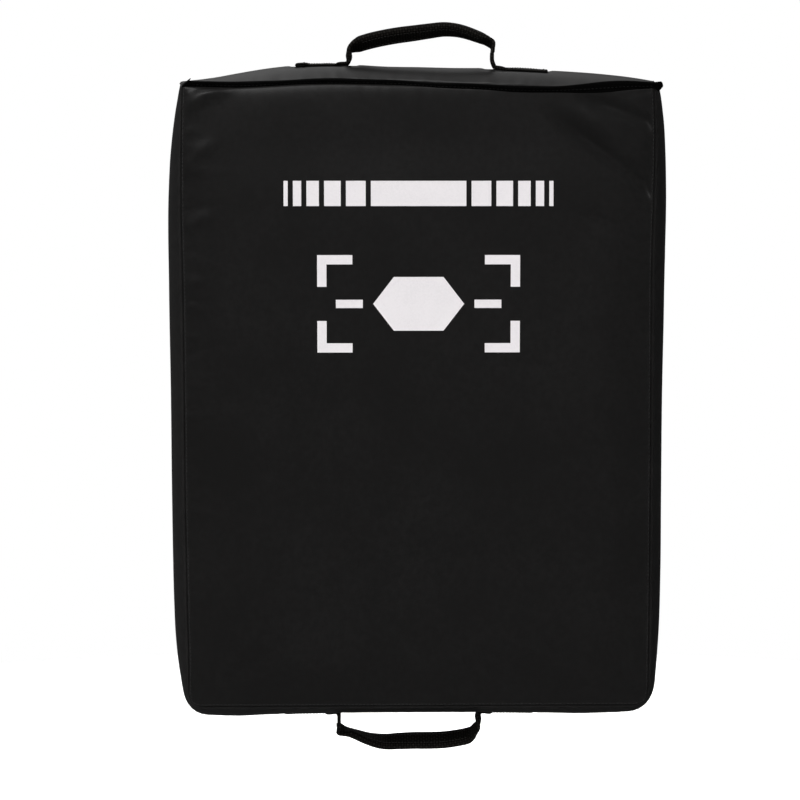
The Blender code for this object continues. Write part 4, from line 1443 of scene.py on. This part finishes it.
class SHIELD_OT_closing_lip(bpy.types.Operator):
    """Build the bound lip of the closing seam, with its two ears"""

    bl_idname = "shield.closing_lip"
    bl_label = "Closing lip"
    bl_options = {"REGISTER", "UNDO"}

    def execute(self, context):
        settings = context.scene.shield_cover
        left, right = -HALF_WIDTH + LIP_INSET, HALF_WIDTH + EAR_REACH
        x = np.linspace(left, right, LIP_POINTS)
        from_left, from_right = x - left, right - x
        phases = np.random.default_rng(21).uniform(0, 2 * math.pi, 4)
        ripple = np.sin(x * 46 + phases[0]) + 0.7 * np.sin(x * 91 + phases[1])
        growth, drop = curve_through(x, LIP_GROWTH), curve_through(x, LIP_DROP)
        sway = LIP_SWAY * np.sin(x * 33 + phases[2]) * fade(np.minimum(from_left, from_right), 0.03)
        # Where the lip grows, it also stands up straighter
        lean = LIP_LEAN + sway - 80 * np.maximum(growth, 0)
        ear, slant = 1 - fade(from_right, EAR_LENGTH), 1 - fade(from_left, SLANT_LENGTH)
        rounding = ease(from_right, EAR_ROUNDING)
        ear_point = np.exp(-((from_right - 0.0040) / 0.0024) ** 2)
        left_point = np.exp(-((from_left - 0.0026) / 0.0016) ** 2)
        height = settings.lip_height + growth + LIP_RIPPLE * ripple + 0.0012 * slant
        height = height + 0.0046 * ear_point + 0.0024 * left_point
        height = height * (0.15 + 0.85 * rounding) * (0.5 + 0.5 * ease(from_left, 0.002))
        thick = LIP_THICKNESS + LIP_RIPPLE * np.sin(x * 70 + phases[3]) + 0.0008 * ear
        root_y = FRONT_SEAM_Y + LIP_ROOT - 0.6 * drop
        root_z = HALF_HEIGHT - LIP_ROOT * rounding + curve_through(x, LIP_WAVE) - drop - 0.0028 * ear_point
        out = np.stack((0.2 * ear + 0.9 * slant, -np.sin(lean), np.cos(lean)), axis=1)
        across_lip = np.stack((x * 0, np.cos(lean), np.sin(lean)), axis=1)
        root = np.stack((x, root_y, root_z), axis=1)

        def along_lip(aside, up):
            return root + out * (up * height)[:, None] + across_lip * (aside * thick)[:, None]

        rings = np.stack([along_lip(*corner) for corner in LIP_PROFILE], axis=1)
        girth = np.linspace(0, LIP_GIRTH, len(LIP_PROFILE))
        uv = np.stack(np.broadcast_arrays(x[:, None] * 1.0, girth[None, :]), axis=-1)
        item = tube_object("closing_lip", rings, uv, binding_material())
        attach(item, "shield")
        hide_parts("closing_seam_binding")
        rows = [along_lip(side * 0.5, LIP_STITCH_HEIGHT)[6:-6] for side in (-1, 1)]
        seam_stitches("closing_lip_stitches", rows, thread_material("lip thread", settings.binding_colour))
        return {"FINISHED"}


def carrier(node):
    """Name of the cover panel that a foot or a patch is sewn to."""
    if "arm_strap" in node:
        return "cover_back"
    return "cover_top" if node.startswith("top") else "cover_boxing"


def hinge_of(name):
    """Where the joint of a handle or strap stands."""
    return Vector(next(entry for entry in frame["joints"] if entry["child"] == name)["pos_m"])


def foot_boxes():
    """Low and high corners of the sewn feet, for each panel that carries them."""
    boxes = {"cover_top": [], "cover_boxing": [], "cover_back": []}
    for node in frame["nodes"]:
        if node.endswith("_foot"):
            low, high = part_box(node)
            panel = carrier(node)
            # Wide along the panel's outward axis only, as the feet are thin and curved
            margin = np.full(3, FOOT_MARGIN)
            margin[1 if panel == "cover_back" else 2] = FOOT_CURVE_MARGIN
            boxes[panel].append((np.array(low) - margin, np.array(high) + margin))
    return boxes


def panel_field(panel):
    """Height field of a built panel under its webbing, and the axes across, along and out."""
    points = built[panel][0]
    if panel == "cover_boxing":
        points = points[:, points[points.shape[0] // 2, :, 2] < -HALF_HEIGHT - BOTTOM_CLEAR]
    axes = (0, 2, 1) if panel == "cover_back" else (0, 1, 2)
    return height_field(points, *axes), axes


def fabric_rest(panel):
    """How far the fabric beside a webbing's path lies from the fabric under the path itself."""
    field, (first, second, out_axis) = panel_field(panel)

    def rest(path, beside):
        step = field(beside[..., first], beside[..., second]) - field(path[..., first], path[..., second])
        move = np.zeros(path.shape)
        move[..., out_axis] = step
        return move

    return rest


def foot_stitches(run, inside, rolled, half):
    """Paths of a stitched box with a cross on each of a webbing's two sewn feet."""
    paths = []
    middle = len(inside) // 2
    for part, turned in ((slice(0, middle), rolled[0]), (slice(middle, None), rolled[1])):
        places = run.travel[part][inside[part] < -ROOT_CLEAR]
        hem = 2 * HEM_LENGTH if turned else PLAIN_HEM
        low, high = (places[0] + hem, places[-1]) if part.start == 0 else (places[0], places[-1] - hem)
        corners = ((low, -half), (high, -half), (high, half), (low, half))
        lines = [(corners[step], corners[(step + 1) % 4]) for step in range(4)]
        for start, end in lines + [(corners[0], corners[2]), (corners[1], corners[3])]:
            travel, over = np.linspace(start, end, FOOT_STITCH_POINTS).T
            paths.append(run.at(travel, over, run.thickness / 2 + STITCH_LIFT))
    return paths


def carrying_handle(name, up, centre, arch, lean, parted, route, twist, rolled):
    """A carrying handle: folded webbing, sewn down flat at both ends."""
    grip_radius = bpy.context.scene.shield_webbing.grip_radius
    panel = carrier(name)
    field, _ = panel_field(panel)
    hinge = hinge_of(name)
    lean = math.radians(lean)
    if up < 0:
        route = tuple((-along, out) for along, out in reversed(route))
        rolled = rolled[::-1]

    def loop_point(along, out):
        step, x = max(out, 0.0), centre + up * along
        turn = lean * float(fade(step + 0.002, 0.012))
        return (x, hinge.y + step * math.sin(turn), hinge.z + up * (step * math.cos(turn) + min(out, 0.0)))

    def foot_point(along, lift):
        x = centre + up * along
        return (x, hinge.y, float(field(x, hinge.y)) + up * lift)

    low = max(abs(float(field(centre + side * HANDLE_SPAN / 2, hinge.y))) for side in (-1, 1))
    leg = hinge.z * up - low
    path = webbing_path(foot_point, loop_point, route, HANDLE_SPAN, arch, HANDLE_FOOT, HANDLE_THICKNESS,
                        leg, rolled)
    x, height = path[:, 0], path[:, 2] * up - low
    inside = HANDLE_SPAN / 2 - np.abs(x - centre)
    grown = begun(inside, GRIP_INSIDE) * begun(height, GRIP_ABOVE)
    turn = lean * begun(height, LEAN_ABOVE) + np.radians(curve(x * 1000, *twist)) * grown
    sideways = np.stack((x * 0, np.cos(turn), -up * np.sin(turn)), axis=1)
    radius = HANDLE_FOLD_RADIUS + (grip_radius - HANDLE_FOLD_RADIUS) * grown
    eye = np.exp(-((height - EYE_HEIGHT) / EYE_SPREAD) ** 2) * ((x - centre) * parted > 0.05)
    radius += EYE_OPENING * eye
    folded = begun(inside, HANDLE_FOLD_INSIDE)
    drape = 1 - begun(height, DRAPE_ABOVE)
    run = WebbingRun(path, sideways, HANDLE_HALF, HANDLE_THICKNESS, folded, radius,
                     begun(height, HANDLE_LIFT_ABOVE), drape, fabric_rest(panel))
    item = run.mesh(name + "_webbing", webbing_material())
    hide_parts(f"{name}_left_foot", f"{name}_loop", f"{name}_right_foot")
    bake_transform(item)
    webbing_stitches(name + "_foot_stitches", foot_stitches(run, inside, rolled, HANDLE_STITCH_HALF),
                     "shield")
    grip = run.travel[inside > ROOT_CLEAR]
    places = np.linspace(grip[0], grip[-1], GRIP_STITCH_POINTS)
    flat_half = np.interp(places, run.travel, run.flat_half)
    bend = np.interp(places, run.travel, run.radius)
    rows = []
    for side in (-1, 1):
        for over in (flat_half - GRIP_STITCH_EDGE, flat_half + math.pi * bend + GRIP_STITCH_EDGE):
            rows.append(run.at(places, side * over, -HANDLE_THICKNESS / 2 - STITCH_LIFT))
    webbing_stitches(name + "_grip_stitches", rows, name)


class SHIELD_OT_handles(bpy.types.Operator):
    """Build the two carrying handles of folded webbing"""

    bl_idname = "shield.handles"
    bl_label = "Carrying handles"
    bl_options = {"REGISTER", "UNDO"}

    def execute(self, context):
        for name, values in HANDLES.items():
            carrying_handle(name, **values)
        return {"FINISHED"}


def arm_strap(name, x):
    """An arm strap on the back: flat webbing, folded narrow where it leaves its feet."""
    field, _ = panel_field("cover_back")
    hinge = hinge_of(name)

    def loop_point(along, out):
        return (x, hinge.y + out, along)

    def foot_point(along, lift):
        return (x, float(field(x, along)) + lift, along)

    low = float(field(x, STRAP_SPAN / 2))
    rolled = (True, True)
    path = webbing_path(foot_point, loop_point, STRAP_ROUTE, STRAP_SPAN, STRAP_ARCH, STRAP_FOOT,
                        STRAP_THICKNESS, hinge.y - low, rolled)
    inside = STRAP_SPAN / 2 - np.abs(path[:, 2])
    height = path[:, 1] - low
    folded = begun(inside, STRAP_FOLD_INSIDE) * (1 - begun(inside, STRAP_OPEN_INSIDE))
    sideways = np.broadcast_to(np.array((1.0, 0.0, 0.0)), path.shape)
    radius = np.full(len(path), STRAP_FOLD_RADIUS)
    drape = 1 - begun(height, DRAPE_ABOVE)
    run = WebbingRun(path, sideways, STRAP_HALF, STRAP_THICKNESS, folded, radius,
                     begun(height, STRAP_LIFT_ABOVE), drape, fabric_rest("cover_back"))
    item = run.mesh(name + "_webbing", webbing_material(), 30)
    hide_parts(f"{name}_lower_foot", f"{name}_loop", f"{name}_upper_foot")
    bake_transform(item)
    webbing_stitches(name + "_stitches", foot_stitches(run, inside, rolled, STRAP_STITCH_HALF), "shield")


class SHIELD_OT_arm_straps(bpy.types.Operator):
    """Build the two arm straps on the back"""

    bl_idname = "shield.arm_straps"
    bl_label = "Arm straps"
    bl_options = {"REGISTER", "UNDO"}

    def execute(self, context):
        arm_strap("left_arm_strap", -STRAP_X)
        arm_strap("right_arm_strap", STRAP_X)
        return {"FINISHED"}


class SHIELD_OT_patches(bpy.types.Operator):
    """Build the reinforcing patches inside the cover, one behind each sewn foot"""

    bl_idname = "shield.patches"
    bl_label = "Reinforcing patches"
    bl_options = {"REGISTER", "UNDO"}

    def execute(self, context):
        for node in [name for name in frame["nodes"] if name.endswith("_patch")]:
            low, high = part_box(node)
            panel = carrier(node)
            side = -1 if panel == "cover_boxing" else 1
            field, (first, second, out_axis) = panel_field(panel)
            rows, columns = PATCH_GRID
            points = np.zeros((rows, columns, 3))
            points[..., first] = np.linspace(low[first], high[first], columns)[None, :]
            points[..., second] = np.linspace(low[second], high[second], rows)[:, None]
            inward = context.scene.shield_cover.thickness + PATCH_GAP
            points[..., out_axis] = field(points[..., first], points[..., second]) - side * inward
            outward = np.zeros(3)
            outward[out_axis] = side
            item = grid_object(node.replace("_patch", "_backing"), points, outward, patch_material())
            wall = item.modifiers.new("thickness", "SOLIDIFY")
            wall.thickness = PATCH_THICKNESS
            wall.offset = -1.0
            apply_modifiers(item)
            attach(item, "shield")
            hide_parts(node)
        return {"FINISHED"}


class SHIELD_OT_seam_stitches(bpy.types.Operator):
    """Lay the stitches along the seams of the cover"""

    bl_idname = "shield.seam_stitches"
    bl_label = "Seam stitches"
    bl_options = {"REGISTER", "UNDO"}

    def execute(self, context):
        line, last = STITCH_LINE, -STITCH_LINE - 1

        def lifted(name):
            points, normals = built[name]
            return points + normals * STITCH_LIFT

        front = lifted("cover_front")
        open_row = np.concatenate((
            front[line:-8, line][::-1], front[line, line:-line], front[line:-8, last]))
        back = lifted("cover_back")
        round_row = np.concatenate((
            back[line:last, line][::-1], back[line, line:last], back[line:last, last],
            back[last, line:last + 1][::-1], back[last - 1:last, line]))
        top = lifted("cover_top")
        rows = [open_row, round_row, top[8:-3, line], top[8:-3, last]]
        material = thread_material("cover thread", context.scene.shield_thread.colour)
        seam_stitches("cover_stitches", rows, material)
        return {"FINISHED"}


def bar(x0, z0, x1, z1):
    """Corners of a rectangle, in millimetres across and up from the middle of the face."""
    return ((x0, z0), (x1, z0), (x1, z1), (x0, z1))


def print_shapes():
    """A bar in blocks over a marked striking zone, all plain shapes."""
    low, high = 188.5, 212.7
    shapes = [bar(-46, low, 46, high)]
    for near, far in ((51, 70), (75, 91), (96, 108), (113, 121), (126, 130)):
        shapes += [bar(-far, low, -near, high), bar(near, low, far, high)]
    # Four corners, each of a level arm and an upright one
    side, bottom, top = 98.0, 47.2, 141.4
    wide, arm = 9.0, 34.0
    for x, toward in ((-side, 1), (side, -1)):
        for z, inward in ((bottom, 1), (top, -1)):
            for across_arm, start, end in ((arm, 0, wide), (wide, wide, arm * 0.9)):
                x0, x1 = sorted((x, x + toward * across_arm))
                z0, z1 = sorted((z + inward * start, z + inward * end))
                shapes.append(bar(x0, z0, x1, z1))
    middle = (bottom + top) / 2
    shapes.append(((-44, middle), (-24, middle - 26), (24, middle - 26), (44, middle), (24, middle + 26),
                   (-24, middle + 26)))
    shapes.append(bar(-80, middle - 4, -54, middle + 4))
    shapes.append(bar(54, middle - 4, 80, middle + 4))
    return shapes


class SHIELD_OT_face_print(bpy.types.Operator):
    """Print the plain marks on the striking face"""

    bl_idname = "shield.face_print"
    bl_label = "Face print"
    bl_options = {"REGISTER", "UNDO"}

    def execute(self, context):
        thickness = context.scene.shield_print.thickness
        face_y = height_field(built["cover_front"][0], 0, 2, 1)
        builder = bmesh.new()
        for shape in print_shapes():
            builder.faces.new([builder.verts.new((x / 1000, 0.0, z / 1000)) for x, z in shape])
        for axis, normal in ((0, Vector((1, 0, 0))), (2, Vector((0, 0, 1)))):
            low = min(vert.co[axis] for vert in builder.verts)
            high = max(vert.co[axis] for vert in builder.verts)
            for step in range(math.ceil(low / FACE_CELL), math.floor(high / FACE_CELL) + 1):
                geometry = builder.verts[:] + builder.edges[:] + builder.faces[:]
                bmesh.ops.bisect_plane(builder, geom=geometry, plane_co=normal * step * FACE_CELL,
                                       plane_no=normal, dist=1e-6)
        for vert in builder.verts:
            vert.co.y = float(face_y(vert.co.x, vert.co.z)) + thickness / 4
        raised = bmesh.ops.extrude_face_region(builder, geom=builder.faces[:])
        for vert in raised["geom"]:
            if isinstance(vert, bmesh.types.BMVert):
                vert.co.y -= thickness * 1.25
        bmesh.ops.recalc_face_normals(builder, faces=builder.faces)
        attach(mesh_object("face_print", builder, ink_material()), "shield")
        return {"FINISHED"}


class SHIELD_OT_stage(bpy.types.Operator):
    """Set up the floor, the lamps, the world and the camera"""

    bl_idname = "shield.stage"
    bl_label = "Stage"
    bl_options = {"REGISTER", "UNDO"}

    def execute(self, context):
        settings = context.scene.shield_stage
        self.add_floor(settings)
        self.add_lamps(settings)
        self.add_world(context, settings)
        self.add_camera(context)
        context.scene.view_settings.view_transform = "Standard"
        return {"FINISHED"}

    def add_floor(self, settings):
        builder = bmesh.new()
        bmesh.ops.create_circle(builder, cap_ends=True, segments=64, radius=3.0)
        bmesh.ops.translate(builder, verts=builder.verts, vec=(0, 0, settings.floor_height))
        material, tree, shader = new_material("floor")
        shader.inputs["Base Color"].default_value = (0.85, 0.85, 0.85, 1)
        shader.inputs["Roughness"].default_value = 0.8
        seen = self.seen_directly(tree)
        shader.inputs["Emission Color"].default_value = (1, 1, 1, 1)
        tree.links.new(calculate(tree, "MULTIPLY", seen, 0.4), shader.inputs["Emission Strength"])
        floor = mesh_object("floor", builder, material)
        floor.visible_glossy = False
        floor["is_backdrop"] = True

    def seen_directly(self, tree):
        """1 for rays that show the background itself, or show it in a reflection or through glass."""
        camera, mirrored = self.ray_kinds(tree)
        return calculate(tree, "MAXIMUM", camera, mirrored)

    def ray_kinds(self, tree):
        """1 for rays from the camera, and 1 for rays seen in a reflection or through glass."""
        rays = add_node(tree, "ShaderNodeLightPath").outputs
        mirrored = calculate(tree, "MAXIMUM", rays["Is Glossy Ray"], rays["Is Transmission Ray"])
        return rays["Is Camera Ray"], mirrored

    def add_lamps(self, settings):
        lamps = (
            ("key_light", (-1.1, -3.6, 3.2), (0, -0.12, 0.0), 2.0, settings.key_power),
            ("fill_light", (0.3, -5.0, 0.3), (0, -0.12, 0.0), 2.4, settings.fill_power),
            ("top_light", (-0.9, 0.3, 1.9), (-0.1, -0.06, 0.3), 1.2, settings.top_power),
            ("left_light", (-2.4, 0.3, 0.2), (0, -0.06, 0.0), 1.2, settings.side_power),
            ("right_light", (2.1, 1.5, 0.3), (0, -0.06, 0.0), 1.2, settings.side_power * 0.75),
            ("back_light", (0.6, 2.2, 1.3), (0, 0.0, 0.0), 1.6, settings.back_power),
        )
        for name, place, target, size, power in lamps:
            lamp = bpy.data.lights.new(name, "AREA")
            lamp.shape = "SQUARE"
            lamp.size = size
            lamp.energy = power
            item = link(bpy.data.objects.new(name, lamp))
            item.location = place
            item.rotation_euler = (Vector(target) - Vector(place)).to_track_quat("-Z", "Y").to_euler()
            item.visible_glossy = name in ("key_light", "top_light")

    def add_world(self, context, settings):
        """White behind everything; the light from it is brightest overhead, as in a studio."""
        world = bpy.data.worlds.new("studio")
        world.use_nodes = True
        tree = world.node_tree
        toward = add_node(tree, "ShaderNodeTexCoord").outputs["Generated"]
        parts = add_node(tree, "ShaderNodeSeparateXYZ", {"Vector": toward}).outputs
        backdrop = ranged(tree, parts["Z"], 0.1, 0.75, 0.05, 1.0, interpolation_type="SMOOTHSTEP")
        for axis, start, end, low, high in (("Y", -0.6, 0.3, 0.4, 1.0), ("X", -0.35, 0.35, 1.0, 0.4)):
            part = ranged(tree, parts[axis], start, end, low, high, interpolation_type="SMOOTHSTEP")
            backdrop = calculate(tree, "MULTIPLY", backdrop, part)
        softened = ranged(tree, parts["Z"], -0.5, 0.9, settings.ambient * 0.6, settings.ambient * 1.8)
        camera, mirrored = self.ray_kinds(tree)
        rest = calculate(tree, "SUBTRACT", calculate(tree, "SUBTRACT", 1.0, camera), mirrored)
        light = calculate(tree, "MULTIPLY_ADD", mirrored, backdrop, camera)
        light = calculate(tree, "MULTIPLY_ADD", rest, softened, light)
        shader = tree.nodes["Background"]
        shader.inputs["Color"].default_value = (1, 1, 1, 1)
        tree.links.new(light, shader.inputs["Strength"])
        context.scene.world = world

    def add_camera(self, context):
        target = Vector((0.0, FRONT_SEAM_Y, 0.0))
        level = math.cos(CAMERA_ELEVATION)
        toward = Vector((math.sin(CAMERA_AZIMUTH) * level, -math.cos(CAMERA_AZIMUTH) * level,
                         math.sin(CAMERA_ELEVATION)))
        camera = bpy.data.cameras.new("camera")
        camera.sensor_width = SENSOR_WIDTH
        camera.lens = CAMERA_DISTANCE / METRES_PER_PIXEL * SENSOR_WIDTH / PICTURE_SIZE
        camera.shift_x = (PICTURE_SIZE / 2 - FACE_PIXEL[0]) / PICTURE_SIZE
        camera.shift_y = (FACE_PIXEL[1] - PICTURE_SIZE / 2) / PICTURE_SIZE
        item = link(bpy.data.objects.new("camera", camera))
        item.location = target + toward * CAMERA_DISTANCE
        item.rotation_euler = (-toward).to_track_quat("-Z", "Y").to_euler()
        context.scene.camera = item


OPERATORS = (
    SHIELD_OT_foam, SHIELD_OT_cover, SHIELD_OT_closing_lip, SHIELD_OT_handles, SHIELD_OT_arm_straps,
    SHIELD_OT_patches, SHIELD_OT_seam_stitches, SHIELD_OT_face_print, SHIELD_OT_stage,
)


class SHIELD_PT_panel(bpy.types.Panel):
    """Builds the shield piece by piece, and holds its sizes and colours"""

    bl_label = "Impact Shield"
    bl_idname = "SHIELD_PT_panel"
    bl_space_type = "VIEW_3D"
    bl_region_type = "UI"
    bl_category = "Impact Shield"

    def draw(self, context):
        for title, group in SETTINGS.items():
            box = self.layout.box()
            box.label(text=title.replace("_", " ").capitalize())
            for key in group.__annotations__:
                box.prop(getattr(context.scene, title), key)
        for operator in OPERATORS:
            self.layout.operator(operator.bl_idname)


def register():
    for group in SETTINGS.values():
        bpy.utils.register_class(group)
    for title, group in SETTINGS.items():
        setattr(bpy.types.Scene, title, bpy.props.PointerProperty(type=group))
    for operator in OPERATORS:
        bpy.utils.register_class(operator)
    bpy.utils.register_class(SHIELD_PT_panel)


def unregister():
    bpy.utils.unregister_class(SHIELD_PT_panel)
    for operator in reversed(OPERATORS):
        bpy.utils.unregister_class(operator)
    for title, group in SETTINGS.items():
        delattr(bpy.types.Scene, title)
        bpy.utils.unregister_class(group)


def main():
    register()
    bpy.ops.shield.foam()
    bpy.ops.shield.cover()
    bpy.ops.shield.closing_lip()
    bpy.ops.shield.handles()
    bpy.ops.shield.arm_straps()
    bpy.ops.shield.patches()
    bpy.ops.shield.seam_stitches()
    bpy.ops.shield.face_print()
    bpy.ops.shield.stage()
    sizes = {"cad": CAD_BOX, "visual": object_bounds()}
    plain = {key: [[float(value) for value in corner] for corner in box] for key, box in sizes.items()}


if __name__ == "__main__":
    main()
